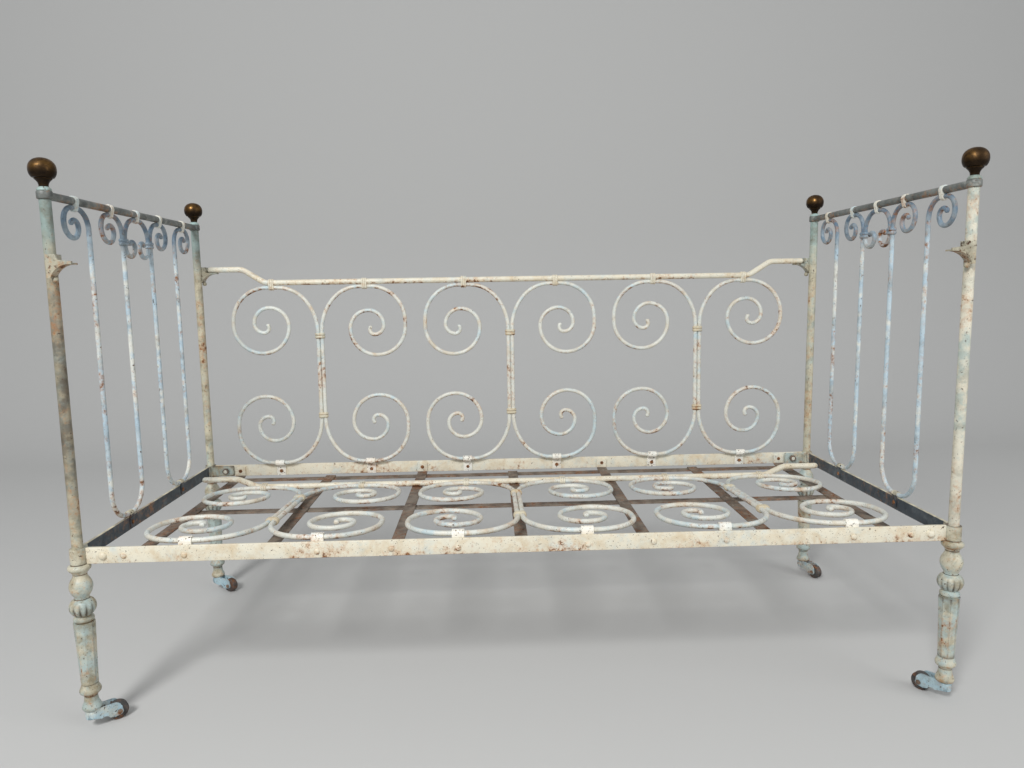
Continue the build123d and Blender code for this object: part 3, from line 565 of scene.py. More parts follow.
def endTree(net, geometry):
    whole = net.add("GeometryNodeRealizeInstances", {"Geometry": geometry})[0]
    smooth = net.add("GeometryNodeSetShadeSmooth", {"Geometry": whole})[0]
    net.give("Geometry", net.add(
        "GeometryNodeSetMaterial", {"Geometry": smooth, "Material": net.ins["Finish"]})[0])
    return net.tree


def makeRoundBar():
    net = newGroup("roundBar", {
        "Bar Radius": 0.005, "Sides": 14, "Tip Length": 0.004, "Tip Share": 0.35, "Dent Depth": 0.0002,
        "Dent Size": 0.03, "Seed": 0.0, "Finish": "Material"})
    ins = net.ins
    path = net.add("GeometryNodeMeshToCurve", {"Mesh": ins["Geometry"]})[0]
    along = net.add("GeometryNodeSplineParameter")["Length"]
    whole = net.add("GeometryNodeSplineLength")["Length"]
    fromEnd = net.calc("MINIMUM", along, net.minus(whole, along))
    share = net.calc("MINIMUM", net.calc("DIVIDE", fromEnd, ins["Tip Length"]), 1.0)
    short = net.calc("POWER", net.minus(1.0, share), 2.0)
    lost = net.minus(1.0, net.calc("POWER", ins["Tip Share"], 2.0))
    width = net.calc("SQRT", net.minus(1.0, net.times(short, lost)))
    ring = net.add("GeometryNodeCurvePrimitiveCircle",
                   {"Resolution": ins["Sides"], "Radius": ins["Bar Radius"]})[0]
    bar = net.add("GeometryNodeCurveToMesh",
                  {"Curve": path, "Profile Curve": ring, "Scale": width, "Fill Caps": True})[0]
    return endTree(net, addDents(net, bar))


def makeFlatBar():
    net = newGroup("flatBar", {
        "Across": 0.022, "Upright": 0.003, "Edge Radius": 0.0008, "Dent Depth": 0.0002, "Dent Size": 0.06,
        "Seed": 0.0, "Finish": "Material"})
    ins = net.ins
    path = net.add("GeometryNodeMeshToCurve", {"Mesh": ins["Geometry"]})[0]
    section = net.add("GeometryNodeCurvePrimitiveQuadrilateral",
                      {"Width": ins["Across"], "Height": ins["Upright"]})[0]
    section = net.add("GeometryNodeFilletCurve",
                      {"Curve": section, "Count": 3, "Radius": ins["Edge Radius"]}, mode="POLY")[0]
    bar = net.add("GeometryNodeCurveToMesh", {"Curve": path, "Profile Curve": section, "Fill Caps": True})[0]
    return endTree(net, addDents(net, bar))


def makeSetOnSeats():
    net = newGroup("setOnSeats", {
        "Shape": "Object", "Size Play": 0.03, "Turn Play": 0.0, "Seed": 0, "Finish": "Material"})
    ins = net.ins
    shape = net.add("GeometryNodeObjectInfo", {"Object": ins["Shape"]})["Geometry"]
    seat = net.add("GeometryNodeInputNamedAttribute", {"Name": "turn"}, data_type="QUATERNION")[0]

    def draw(low, high, seed):
        return net.add("FunctionNodeRandomValue", {2: low, 3: high, "Seed": seed}, data_type="FLOAT")[1]

    size = draw(net.minus(1.0, ins["Size Play"]), net.plus(1.0, ins["Size Play"]), ins["Seed"])
    twist = draw(net.times(ins["Turn Play"], -1.0), ins["Turn Play"], net.plus(ins["Seed"], 1.0))
    spin = net.add("FunctionNodeAxisAngleToRotation", {"Axis": (0.0, 0.0, 1.0), "Angle": twist})[0]
    turn = net.add("FunctionNodeRotateRotation", {"Rotation": seat, "Rotate By": spin},
                   rotation_space="LOCAL")[0]
    placed = net.add("GeometryNodeInstanceOnPoints", {
        "Points": ins["Geometry"], "Instance": shape, "Rotation": turn, "Scale": size})[0]
    return endTree(net, placed)


roundBar = makeRoundBar()
flatBar = makeFlatBar()
setOnSeats = makeSetOnSeats()


def runTree(guide, tree, finish, values):
    modifier = guide.modifiers.new(tree.name, "NODES")
    modifier.node_group = tree
    values = {**values, "Finish": finish}
    for item in tree.interface.items_tree:
        if item.item_type == "SOCKET" and item.in_out == "INPUT" and item.name in values:
            modifier[item.identifier] = values[item.name]
    depsgraph = bpy.context.evaluated_depsgraph_get()
    mesh = bpy.data.meshes.new_from_object(guide.evaluated_get(depsgraph), depsgraph=depsgraph)
    guide.modifiers.clear()
    old = guide.data
    bpy.data.objects.remove(guide)
    bpy.data.meshes.remove(old)
    return smoothFaces(mesh)


def roundBars(paths, finish, values):
    paths = [denseEnds(path, values["Tip Length"]) for path in paths]
    return runTree(lineObject(paths), roundBar, finish, values)


def flatBars(paths, finish, values):
    return runTree(lineObject(paths), flatBar, finish, values)


def seatShapes(shape, seats, finish, seed, sizePlay=0.03, turnPlay=0.0):
    # seats are (place, turn); the shape's own Z is turned to the seat's
    mesh = bpy.data.meshes.new("seats")
    mesh.from_pydata([place for place, turn in seats], [], [])
    turns = mesh.attributes.new("turn", "QUATERNION", "POINT")
    for item, (place, turn) in zip(turns.data, seats):
        item.value = turn
    guide = bpy.data.objects.new("seats", mesh)
    model = bpy.data.objects.new("shape", shape)
    for made in (guide, model):
        scene.collection.objects.link(made)
    values = {"Shape": model, "Size Play": sizePlay, "Turn Play": turnPlay, "Seed": seed}
    result = runTree(guide, setOnSeats, finish, values)
    bpy.data.objects.remove(model)
    return result


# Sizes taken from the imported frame, and values shared by several bars
hingeFront = Vector(joints["front_side_fold"]["pos_m"])
hingeRear = Vector(joints["rear_side_fold"]["pos_m"])
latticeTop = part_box("short_cross_straps")[1].z
railLow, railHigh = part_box("front_side_rail")
postPlaces = {}
for corner in ("front_left", "front_right", "rear_left", "rear_right"):
    low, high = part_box(corner + "_post")
    postPlaces[corner] = ((low + high) / 2).to_2d()
endX, postY = postPlaces["rear_right"].x, postPlaces["rear_left"].y
scrollBar = {"Sides": 14, "Tip Length": 0.005, "Tip Share": 0.55, "Dent Size": 0.02}
thickBar = {"Sides": 18, "Dent Depth": 0.0003, "Dent Size": 0.05}
collarBead = {"height": 0.0125, "wall": 0.0011, "rim": 0.0014, "beads": 2}


# Folding sides
sideSizes = {
    "barRadius": 0.0044, "tubeRadius": 0.00625, "scrollHeight": 0.4015, "barOffset": 0.0046,
    "clipOffset": 0.104, "pairPitch": 0.432, "clipRun": 0.024, "wideRadius": 0.030, "wideTurn": 40.0,
    "radii": (0.0774, 0.0644, 0.060, 0.0425, 0.0345, 0.0215, 0.011, 0.0056),
    # straight stretch at the side of each scroll, left to right: bent by hand, no two alike
    "upperRuns": (0.006, 0.014, 0.015, 0.015, 0.010, 0.003),
    "lowerRuns": (0.013, 0.012, 0.012, 0.014, 0.014, 0.012),
    "eyePlay": 0.02, "eyeLift": 0.0018, "railEnd": 0.68025, "kinkFrom": 0.550, "kinkTo": 0.603,
    "kinkRise": 0.031, "kinkOut": 0.012, "kinkRadius": 0.030, "railTip": 0.2, "seatGap": 0.0003,
    "lean": 1.0, "collarSpacing": 0.182, "dentDepth": 0.00022, "seeds": {"front": 7, "rear": 27},
    "clipBead": {"height": 0.012, "wall": 0.0012, "rim": 0.0012, "beads": 3}}
sideHeight = sum(sideSizes[part] for part in ("scrollHeight", "barRadius", "tubeRadius", "seatGap"))


def sideBar(sizes, side, runs, dice):
    # one C-scroll bar, drawn upright beside the middle of its pair
    wide = math.radians(sizes["wideTurn"])
    reach = sizes["clipOffset"] - sizes["clipRun"] / 2 - sizes["barOffset"]
    tight = reach - sizes["wideRadius"] * (1 - math.cos(wide))
    halfBar = sizes["scrollHeight"] / 2 - tight - sizes["wideRadius"] * math.sin(wide)
    radii = sizes["radii"]
    moveLists = []
    for turn, sideRun in zip((-1, 1), runs):
        eye = 1 + dice.uniform(-sizes["eyePlay"], sizes["eyePlay"])
        moves = [run(halfBar), bend(tight + sizes["wideRadius"], turn * sizes["wideTurn"])]
        moves += [bend(tight, turn * (90 - sizes["wideTurn"])), run(sizes["clipRun"])]
        moves += [bend(radii[0], turn * 90), run(sideRun)]
        moves += [bend(radius, turn * 90) for radius in radii[1:3]]
        moves += [bend(radius * eye, turn * 90) for radius in radii[3:]]
        moveLists.append(moves)
    points = doublePath((sizes["barOffset"], sizes["scrollHeight"] / 2), (90, -90), moveLists)
    lifts = [dice.uniform(-sizes["eyeLift"], sizes["eyeLift"]) for end in range(2)]
    # over its last quarters the bar strays from its plane
    made = []
    for k, (u, v) in enumerate(points):
        share = k / (len(points) - 1)
        fromEnd = max(0.0, 1 - 4 * min(share, 1 - share))
        made.append(Vector((side * u, lifts[0 if share < 0.5 else 1] * fromEnd ** 1.5, v)))
    return made


def buildSide(name, sizes, place):
    # place takes a side drawn upright over the origin, its outside towards -Y, to where it stands
    seed, body = sizes["seeds"][name], name + "_side"
    dice = random.Random(seed)
    up = (place(Vector((0, 0, 1))) - place(Vector((0, 0, 0)))).normalized()
    along = Vector((1, 0, 0))
    clipTurn = Matrix((up.cross(along), up, along)).transposed().to_quaternion()
    collarTurn = Matrix((along.cross(up), along, up)).transposed().to_quaternion()
    clipSeats, collarSeats = [], []
    for pair, label in enumerate(("left", "middle", "right")):
        x = (pair - 1) * sizes["pairPitch"]
        paths = []
        for end, side in enumerate((-1, 1)):
            runs = [sizes[row][2 * pair + end] for row in ("upperRuns", "lowerRuns")]
            paths.append([place(Vector((x, 0, 0)) + point) for point in sideBar(sizes, side, runs, dice)])
            clipPlace = Vector((x + side * sizes["clipOffset"], 0, (sideHeight + sizes["scrollHeight"]) / 2))
            clipSeats.append((place(clipPlace), clipTurn))
            collarZ = sizes["scrollHeight"] / 2 + side * sizes["collarSpacing"] / 2
            collarSeats.append((place(Vector((x, 0, collarZ))), collarTurn))
        mesh = roundBars(paths, scrollPaint, {
            **scrollBar, "Bar Radius": sizes["barRadius"], "Dent Depth": sizes["dentDepth"],
            "Seed": float(seed)})
        showPiece(f"{name}_{label}_scroll_pair", f"{name}_{label}_scrolls", mesh, scrollPaint, body=body)

    high = sideHeight + sizes["kinkRise"]
    corners = [(sizes["kinkFrom"], 0, sideHeight), (sizes["kinkTo"], -sizes["kinkOut"], high),
               (sizes["railEnd"], -sizes["kinkOut"], high)]
    right = [Vector(corner) for corner in corners]
    left = [Vector((-point.x, point.y, point.z)) for point in reversed(right)]
    line = fillRuns(easeCorners(left + right, sizes["kinkRadius"]))
    mesh = roundBars([[place(point) for point in line]], railPaint, {
        **thickBar, "Bar Radius": sizes["tubeRadius"], "Tip Length": sizes["tubeRadius"],
        "Tip Share": sizes["railTip"], "Seed": seed + 0.5})
    showPiece(f"{name}_side_top_bar", f"{name}_panel_rail", mesh, railPaint, body=body)

    clip = bandMesh((sideHeight - sizes["scrollHeight"]) / 2, sizes["tubeRadius"],
                    sizes["barRadius"], sizes["clipBead"])
    mesh = seatShapes(clip, clipSeats, railPaint, seed)
    showPiece(f"{name}_side_clips", f"{name}_rail_clips", mesh, railPaint, body=body)
    collar = bandMesh(sizes["barOffset"], sizes["barRadius"], sizes["barRadius"], collarBead)
    mesh = seatShapes(collar, collarSeats, ivoryPaint, seed + 3)
    showPiece(f"{name}_side_collars", f"{name}_scroll_collars", mesh, ivoryPaint, body=body)


foldDrop = math.asin(
    (hingeFront.z - latticeTop - sideSizes["seatGap"] - sideSizes["tubeRadius"]) / sideHeight)
foldTurn = Matrix.Rotation(-math.pi / 2 - foldDrop, 3, "X")
leanTurn = Matrix.Rotation(math.radians(-sideSizes["lean"]), 3, "X")


def foldedPlace(point):
    return hingeFront + foldTurn @ point


def standingPlace(point):
    return hingeRear + leanTurn @ Vector((point.x, -point.y, point.z))


buildSide("front", sideSizes, foldedPlace)
buildSide("rear", sideSizes, standingPlace)
print("daybed: folding sides made")


# Scrolled ends
endSizes = {
    "barRadius": 0.004, "railRadius": 0.00625, "outerBar": 0.1645, "innerBar": 0.054, "footRun": 0.016,
    "scrollRun": 0.016, "scrollRise": 0.032, "radii": (0.023, 0.024, 0.017, 0.012, 0.0085),
    "crestSideRun": 0.0105, "crestRadii": (0.0192, 0.017, 0.010, 0.0075), "seatGap": 0.0003,
    "eyeHeight": 0.012, "eyeRadius": 0.011, "eyeBore": 0.006, "eyeEdge": 0.0015, "eyePlay": 0.03,
    "eyeBevel": 0.4, "dentDepth": 0.0002, "railTip": 0.001, "railTipShare": 0.95, "railStop": 0.9,
    "seeds": {"left": 41, "right": 42}, "clipSeed": 11,
    "clipBead": {"height": 0.009, "wall": 0.0009, "rim": 0.0009, "beads": 3},
    "collarPlay": 0.02, "collarSeed": 12, "footEdge": 0.0006, "footPale": 0.85}
footY = (endSizes["outerBar"] + endSizes["innerBar"]) / 2
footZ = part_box("right_end_rail")[1].z + endSizes["seatGap"] + endSizes["barRadius"]
low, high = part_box("right_top_rail")
railZ = (low.z + high.z) / 2
scrollZ = railZ - endSizes["railRadius"] - endSizes["seatGap"] - endSizes["barRadius"]
crestSide = endSizes["innerBar"] - 2 * endSizes["barRadius"] - endSizes["seatGap"]
crestRise = crestSide - endSizes["scrollRun"] / 2


def eyeRings(sizes):
    half, edge, radius = sizes["eyeHeight"] / 2, sizes["eyeEdge"], sizes["eyeRadius"]
    bevel = edge * sizes["eyeBevel"]
    lower = [(-half, sizes["eyeBore"]), (-half, radius - edge), (-half + bevel, radius - bevel),
             (-half + edge, radius)]
    return lower + [(-z, reach) for z, reach in reversed(lower)]


def buildEnd(name, x, sizes):
    seed = sizes["seeds"][name]
    dice = random.Random(seed)
    barValues = {**scrollBar, "Bar Radius": sizes["barRadius"], "Dent Depth": sizes["dentDepth"]}
    footRadius = (sizes["outerBar"] - sizes["innerBar"] - sizes["footRun"]) / 2

    def topScroll(radii, turn):
        eye = 1 + dice.uniform(-sizes["eyePlay"], sizes["eyePlay"])
        return [bend(radius * (eye if k > 1 else 1.0), turn) for k, radius in enumerate(radii)]

    for row, side in (("rear", 1), ("front", -1)):
        straight = run(scrollZ - sizes["scrollRise"] - footZ - footRadius)
        moveLists = []
        for turn in (90, -90):
            moves = [run(sizes["footRun"] / 2), bend(footRadius, turn), straight]
            moves += [bend(sizes["scrollRise"], -90), run(sizes["scrollRun"])]
            moveLists.append(moves + topScroll(sizes["radii"], -90))
        path = [Vector((x, side * u, v)) for u, v in doublePath((footY, footZ), (0, 180), moveLists)]
        mesh = roundBars([path], slatePaint, {**barValues, "Seed": float(seed)})
        showPiece(f"{name}_{row}_scrolled_bar", f"{name}_{row}_scroll_bar", mesh, slatePaint)

    moveLists = []
    for turn in (-90, 90):
        moves = [run(sizes["scrollRun"] / 2), bend(crestRise, turn), run(sizes["crestSideRun"])]
        moveLists.append(moves + topScroll(sizes["crestRadii"], turn))
    path = [Vector((x, u, v)) for u, v in doublePath((0, scrollZ), (0, 180), moveLists)]
    mesh = roundBars([path], slatePaint, {**barValues, "Seed": seed + 0.3})
    showPiece(f"{name}_crest_bar", f"{name}_crest_scroll", mesh, slatePaint)

    reach = postY - sizes["eyeRadius"] * sizes["railStop"]
    parts = [roundBars([straightPath((x, -reach, railZ), (x, reach, railZ))], greyPaint, {
        **thickBar, "Bar Radius": sizes["railRadius"], "Tip Length": sizes["railTip"],
        "Tip Share": sizes["railTipShare"], "Seed": seed + 0.7})]
    for side in (-1, 1):
        form = turnedForm(eyeRings(sizes))
        form.transform(Matrix.Translation((x, side * postY, railZ)))
        parts.append(meshFrom(form))
    mesh = joinMeshes(parts)
    showPiece(f"{name}_end_top_bar", f"{name}_top_rail", mesh, greyPaint)


buildEnd("left", -endX, endSizes)
buildEnd("right", endX, endSizes)
clip = bandMesh((railZ - scrollZ) / 2, endSizes["railRadius"], endSizes["barRadius"],
                endSizes["clipBead"])
clipTurn = Matrix(((-1, 0, 0), (0, 0, 1), (0, 1, 0))).transposed().to_quaternion()
clipReach = endSizes["scrollRise"] + endSizes["scrollRun"] / 2
clipPlaces = [0.0]
for offset in (endSizes["innerBar"] + clipReach, endSizes["outerBar"] + clipReach):
    clipPlaces += [-offset, offset]
seats = [(Vector((x, y, (railZ + scrollZ) / 2)), clipTurn) for x in (-endX, endX) for y in clipPlaces]
mesh = seatShapes(clip, seats, scrollPaint, endSizes["clipSeed"])
showPiece("end_rail_clips", "end_top_clips", mesh, scrollPaint)

middleY = (endSizes["innerBar"] + crestSide) / 2
halfGap = (endSizes["innerBar"] - crestSide) / 2
collar = bandMesh(halfGap, endSizes["barRadius"], endSizes["barRadius"], collarBead)
collarZ = scrollZ - crestRise - endSizes["crestSideRun"] / 2
seats = [(Vector((x, side * middleY, collarZ)), Quaternion()) for x in (-endX, endX) for side in (-1, 1)]
mesh = seatShapes(collar, seats, slatePaint, endSizes["collarSeed"], endSizes["collarPlay"])
showPiece("end_collars", "end_bar_collars", mesh, slatePaint)
mesh = softCopy("end_foot_clips", endSizes["footEdge"])
markPoints(mesh, "paleCoatAndHighlight", lambda z: endSizes["footPale"] if z > footZ else 0.0)
showPiece("end_bar_feet", "end_foot_clips", mesh, darkPaint)
print("daybed: scrolled ends made")


# Legs, posts, washers and knobs
legSizes = {
    "tongueLength": 0.055, "tongueThickness": 0.005, "tongueHeight": 0.024, "tongueY": 0.0045,
    "tongueEdge": 0.0009, "lugReach": 0.020, "lugWidth": 0.011, "lugEdge": 0.0012, "root": 0.004,
    "socketHeight": 0.026, "around": 96, "sharpAngle": 26.0, "cornerWorn": 0.035, "flatSound": 0.01,
    "grooveDirtAndShade": 1.3, "octagonEase": 1.079, "lobeDepth": 0.2, "lobeCount": 12, "lobeRound": 0.7,
    # from the foot upwards: shape, height, (share of the height, radius) points, dirt with painted shade in
    # the grooves, rust
    "sections": [
        ("bell", 0.0225, ((0, 0.0128), (0.08, 0.0142), (0.2, 0.0146), (0.34, 0.0134), (0.6, 0.0108),
                          (0.85, 0.0101), (1, 0.0100)), 0.0, 0.0),
        ("groove", 0.001, ((0, 0.0096), (1, 0.0096)), 0.8, 0.05),
        ("rim", 0.0195, ((0, 0.0102), (0.14, 0.0118), (0.28, 0.0153), (0.42, 0.0160), (0.56, 0.0156),
                         (0.74, 0.0140), (0.9, 0.0127), (1, 0.0122)), 0.0, 0.02),
        ("groove", 0.001, ((0, 0.0112), (1, 0.0112)), 0.6, 0.05),
        ("octagon", 0.103, ((0, 0.01175), (0.35, 0.01265), (0.7, 0.0138), (1, 0.01475)), 0.0, 0.0),
        ("flange", 0.0105, ((0, 0.0122), (0.12, 0.0132), (0.3, 0.0150), (0.5, 0.0153), (0.68, 0.0148),
                            (0.84, 0.0128), (1, 0.0112)), 0.0, 0.03),
        ("lobes", 0.0275, ((0, 0.0110), (0.07, 0.0138), (0.2, 0.0172), (0.38, 0.0193), (0.54, 0.0198),
                           (0.72, 0.0189), (0.88, 0.0164), (0.96, 0.0136), (1, 0.0114)), 0.0, 0.0),
        ("groove", 0.001, ((0, 0.0106), (1, 0.0106)), 0.85, 0.05),
        ("ball", 0.0385, ((0, 0.0106), (0.06, 0.0106), (0.1, 0.0114), (0.2, 0.0138), (0.3, 0.0156),
                          (0.4, 0.0167), (0.5, 0.0171), (0.6, 0.0167), (0.7, 0.0156), (0.8, 0.0137),
                          (0.9, 0.0110), (1, 0.0102)), 0.0, 0.0),
        ("groove", 0.002, ((0, 0.0102), (1, 0.0102)), 0.9, 0.05),
        ("collar", 0.0145, ((0, 0.0108), (0.15, 0.0118), (0.32, 0.0142), (0.48, 0.0163), (0.64, 0.0169),
                            (0.8, 0.0165), (0.93, 0.0146), (1, 0.0122)), 0.0, 0.0),
        ("groove", 0.0015, ((0, 0.0114), (1, 0.0114)), 0.85, 0.05),
        ("socket", 0.0245, ((0, 0.0116), (0.05, 0.0120), (0.95, 0.0120), (1, 0.0114)), 0.0, 0.0)]}


def valueAlong(points, share):
    for (a, low), (b, high) in zip(points, points[1:]):
        if share <= b:
            return low + (high - low) * ((share - a) / (b - a))
    return points[-1][1]


def sectionRings(sections, low, steps=20):
    rings, shapes = [], []
    z = low
    for shape, height, points, dirtAndShade, rust in sections:
        count = 1 if len(points) == 2 else steps
        for k in range(count + 1):
            share = k / count
            # half a step to either side is averaged in, which eases the corners
            shares = [min(1.0, max(0.0, share + side * 0.5 / count)) for side in (-1, 0, 1)]
            rings.append((z + height * share, sum(valueAlong(points, near) for near in shares) / 3))
            shapes.append((shape, share, dirtAndShade, rust))
        z += height
    return rings, shapes


def lobeShare(share, rise=0.12, end=0.9, fade=0.8):
    # the grooves are deepest low on the bulb and run out towards its shoulder
    return min(1.0, share / rise) * max(0.0, 1 - share / end) ** fade


def buildLeg(sizes, footZ, across, along):
    rings, shapes = sectionRings(sizes["sections"], footZ)

    def lobeWave(angle):
        return abs(math.cos(sizes["lobeCount"] / 2 * angle))

    def outline(angle, index):
        shape, share = shapes[index][:2]
        if shape == "octagon":
            off = (angle + math.pi / 8) % (math.pi / 4) - math.pi / 8
            return min(1 / math.cos(off), sizes["octagonEase"])
        if shape == "lobes":
            return 1 - sizes["lobeDepth"] * lobeShare(share) * (1 - lobeWave(angle) ** sizes["lobeRound"])
        return 1.0

    form = turnedForm(rings, sizes["around"], outline)
    wear = form.verts.layers.float.new("worn")
    shadeAndSoil = form.verts.layers.float.new("grimeAndShade")
    form.verts.ensure_lookup_table()
    for k, vert in enumerate(form.verts):
        shape, share, dirtAndShade, rust = shapes[k // sizes["around"]]
        turn = 2 * math.pi * k / sizes["around"]
        if shape == "octagon":
            rust = sizes["cornerWorn"] * (0.5 - 0.5 * math.cos(8 * turn)) ** 3 - sizes["flatSound"]
        if shape == "lobes":
            # the lobe grooves are darkened: dirt and painted shade
            dirtAndShade = min(1.0, sizes["grooveDirtAndShade"] * (1 - lobeWave(turn)) * lobeShare(share))
        vert[wear] = rust
        vert[shadeAndSoil] = dirtAndShade
    socketZ = rings[-1][0] - sizes["socketHeight"]
    tongueZ = socketZ + (sizes["socketHeight"] - sizes["tongueHeight"]) / 2
    tongueEnd = (sizes["tongueLength"], sizes["tongueY"] + sizes["tongueThickness"],
                 tongueZ + sizes["tongueHeight"])
    roundedBox(form, (sizes["root"], sizes["tongueY"], tongueZ), tongueEnd, sizes["tongueEdge"])
    half = sizes["lugWidth"] / 2
    roundedBox(form, (-half, sizes["root"], socketZ),
               (half, sizes["lugReach"], socketZ + sizes["socketHeight"]), sizes["lugEdge"])
    form.transform(Matrix.Diagonal((-across, -along, 1.0, 1.0)))
    bmesh.ops.recalc_face_normals(form, faces=form.faces)
    return form


postSizes = {
    "bar": {"Bar Radius": 0.00825, "Sides": 28, "Tip Length": 0.001, "Tip Share": 0.96,
            "Dent Depth": 0.00025, "Dent Size": 0.045},
    "finish": {"front_right": cleanAndLitPaint},
    # dirt and painted shade at the foot, at middle height and at the top; the dark front-left middle and
    # rear-left top are partly painted shade
    "dirtAndShade": {"front_left": (0.0, 0.75, 0.35), "front_right": (0.2, 0.0, 0.0), "rear_left": (0.0, 0.1, 0.3),
             "rear_right": (0.15, 0.1, 0.05)}}
for corner, (x, y) in postPlaces.items():
    across, along = math.copysign(1, x), math.copysign(1, y)
    form = buildLeg(legSizes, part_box(corner + "_leg")[0].z, across, along)
    form.transform(Matrix.Translation((x, y, 0)))
    mesh = smoothFaces(meshFrom(form), legSizes["sharpAngle"])
    showPiece(corner + "_cast_leg", corner + "_leg", mesh, legPaint)
    low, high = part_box(corner + "_post")[0].z, railZ - endSizes["eyeHeight"] / 2
    finish = postSizes["finish"].get(corner, postPaint)
    line = straightPath((x, y, low), (x, y, high))
    mesh = roundBars([line], finish, {**postSizes["bar"], "Seed": x + 3 * y})
    foot, middle, top = postSizes["dirtAndShade"][corner]
    points = ((0, foot), (0.3, middle), (0.65, middle), (0.85, top), (1, top))
    markPoints(mesh, "grimeAndShade", lambda z: valueAlong(points, (z - low) / (high - low)))
    showPiece(corner + "_corner_post", corner + "_post", mesh, finish)

# heights from the foot of the washer
knobSizes = {
    "washer": [(0.0, 0.0050), (0.0, 0.0096), (0.0008, 0.0101), (0.0020, 0.0102), (0.0034, 0.0094),
               (0.0048, 0.0080), (0.0060, 0.00675), (0.0060, 0.0050)],
    "neck": [(0.0060, 0.0045), (0.0060, 0.0062), (0.0064, 0.0065), (0.0085, 0.0066), (0.0110, 0.0072),
             (0.0135, 0.0086), (0.0155, 0.0104), (0.0168, 0.0118), (0.0172, 0.0120), (0.0180, 0.0120),
             (0.0182, 0.0112)],
    "neckGap": 0.0002, "ballMiddle": 0.0306, "ballRadius": 0.01875, "ballHalf": 0.0174, "ballSquare": 2.2,
    "ballSteps": 28.6, "crown": 0.0006, "dent": 0.0036, "dentCount": 3, "dentTwist": 0.3, "around": 56,
    "washerAround": 48, "seed": 5}


def knobForm(sizes, dice):
    rings = list(sizes["neck"])
    lowest = rings[-1][0] + sizes["neckGap"]
    power = 2 / sizes["ballSquare"]
    for k in range(int(sizes["ballSteps"]) + 1):
        angle = -math.pi / 2 + math.pi * k / sizes["ballSteps"]
        flat = abs(math.cos(angle)) ** power
        tall = math.copysign(abs(math.sin(angle)) ** power, angle)
        height = sizes["ballMiddle"] + sizes["ballHalf"] * tall
        if height > lowest:
            rings.append((height, max(sizes["crown"], sizes["ballRadius"] * flat)))
    turn = dice.uniform(0, 6.28)

    def dented(angle, k):
        return 1 + sizes["dent"] * math.sin(sizes["dentCount"] * angle + turn + k * sizes["dentTwist"])

    return turnedForm(rings, sizes["around"], dented)


dice = random.Random(knobSizes["seed"])
knobs, washers = [], []
for corner, (x, y) in postPlaces.items():
    knob, washer = knobForm(knobSizes, dice), turnedForm(knobSizes["washer"], knobSizes["washerAround"])
    for made, form in ((knobs, knob), (washers, washer)):
        form.transform(Matrix.Translation((x, y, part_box("knob_washers")[0].z)))
        made.append(meshFrom(form))
showPiece("brass_knobs", "post_knobs", joinMeshes(knobs), agedBrass)
showPiece("knob_rings", "knob_washers", joinMeshes(washers), postPaint)
# the catches are darkened all over: dirt and painted shade
catchEase, catchDirtAndShade = {"radius": 0.0011, "segments": 3, "minLength": 0.0015}, 0.3
for row in ("front", "rear"):
    mesh = softCopy(row + "_catches", **catchEase)
    markPoints(mesh, "grimeAndShade", lambda z: catchDirtAndShade)
    showPiece(row + "_post_catches", row + "_catches", mesh, postPaint)
print("daybed: corners made")


# Rails and the strap lattice
strapSizes = {
    "width": 0.022, "thickness": 0.003, "bend": 0.0045, "bendSteps": 5, "turnUp": 0.024, "firstX": 0.630,
    "pitch": 0.210, "count": 7, "outerY": 0.250, "paint": 0.0004, "paintFoot": 0.001, "edge": 0.0007,
    "dents": {"Dent Depth": 0.0005, "Dent Size": 0.09}}
railSizes = {
    "worn": 0.035, "sound": -0.02, "edge": 0.0009, "highlightShare": 0.8, "hingeEdge": 0.0005,
    "dents": {"Dent Depth": 0.00035, "Dent Size": 0.12}}
strapX = [strapSizes["pitch"] * k - strapSizes["firstX"] for k in range(strapSizes["count"])]
strapY = (-strapSizes["outerY"], 0.0, strapSizes["outerY"])
topZ = latticeTop - strapSizes["thickness"] + strapSizes["turnUp"]


def railMesh(node, axis, finish, seedStep):
    # a flat bar on edge that fills the box of its node
    low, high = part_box(node)
    start, end = (low + high) / 2, (low + high) / 2
    start[axis], end[axis] = low[axis], high[axis]
    return flatBars([straightPath(start, end)], finish, {
        **railSizes["dents"], "Across": high[1 - axis] - low[1 - axis], "Upright": high.z - low.z,
        "Edge Radius": railSizes["edge"], "Seed": start[1 - axis] * seedStep})


def strapEndPaint(sizes, side):
    # the rail's paint runs on over the turned-up ends of the long cross straps
    form = bmesh.new()
    half = sizes["width"] / 2 + sizes["paint"]
    innerY = -railHigh.y
    faces = sorted((side * innerY, side * (innerY - sizes["thickness"] - sizes["paint"])))
    for x in strapX[0::2]:
        roundedBox(form, (x - half, faces[0], latticeTop + sizes["paintFoot"]),
                   (x + half, faces[1], topZ + sizes["paint"]), sizes["edge"])
    return meshFrom(form)


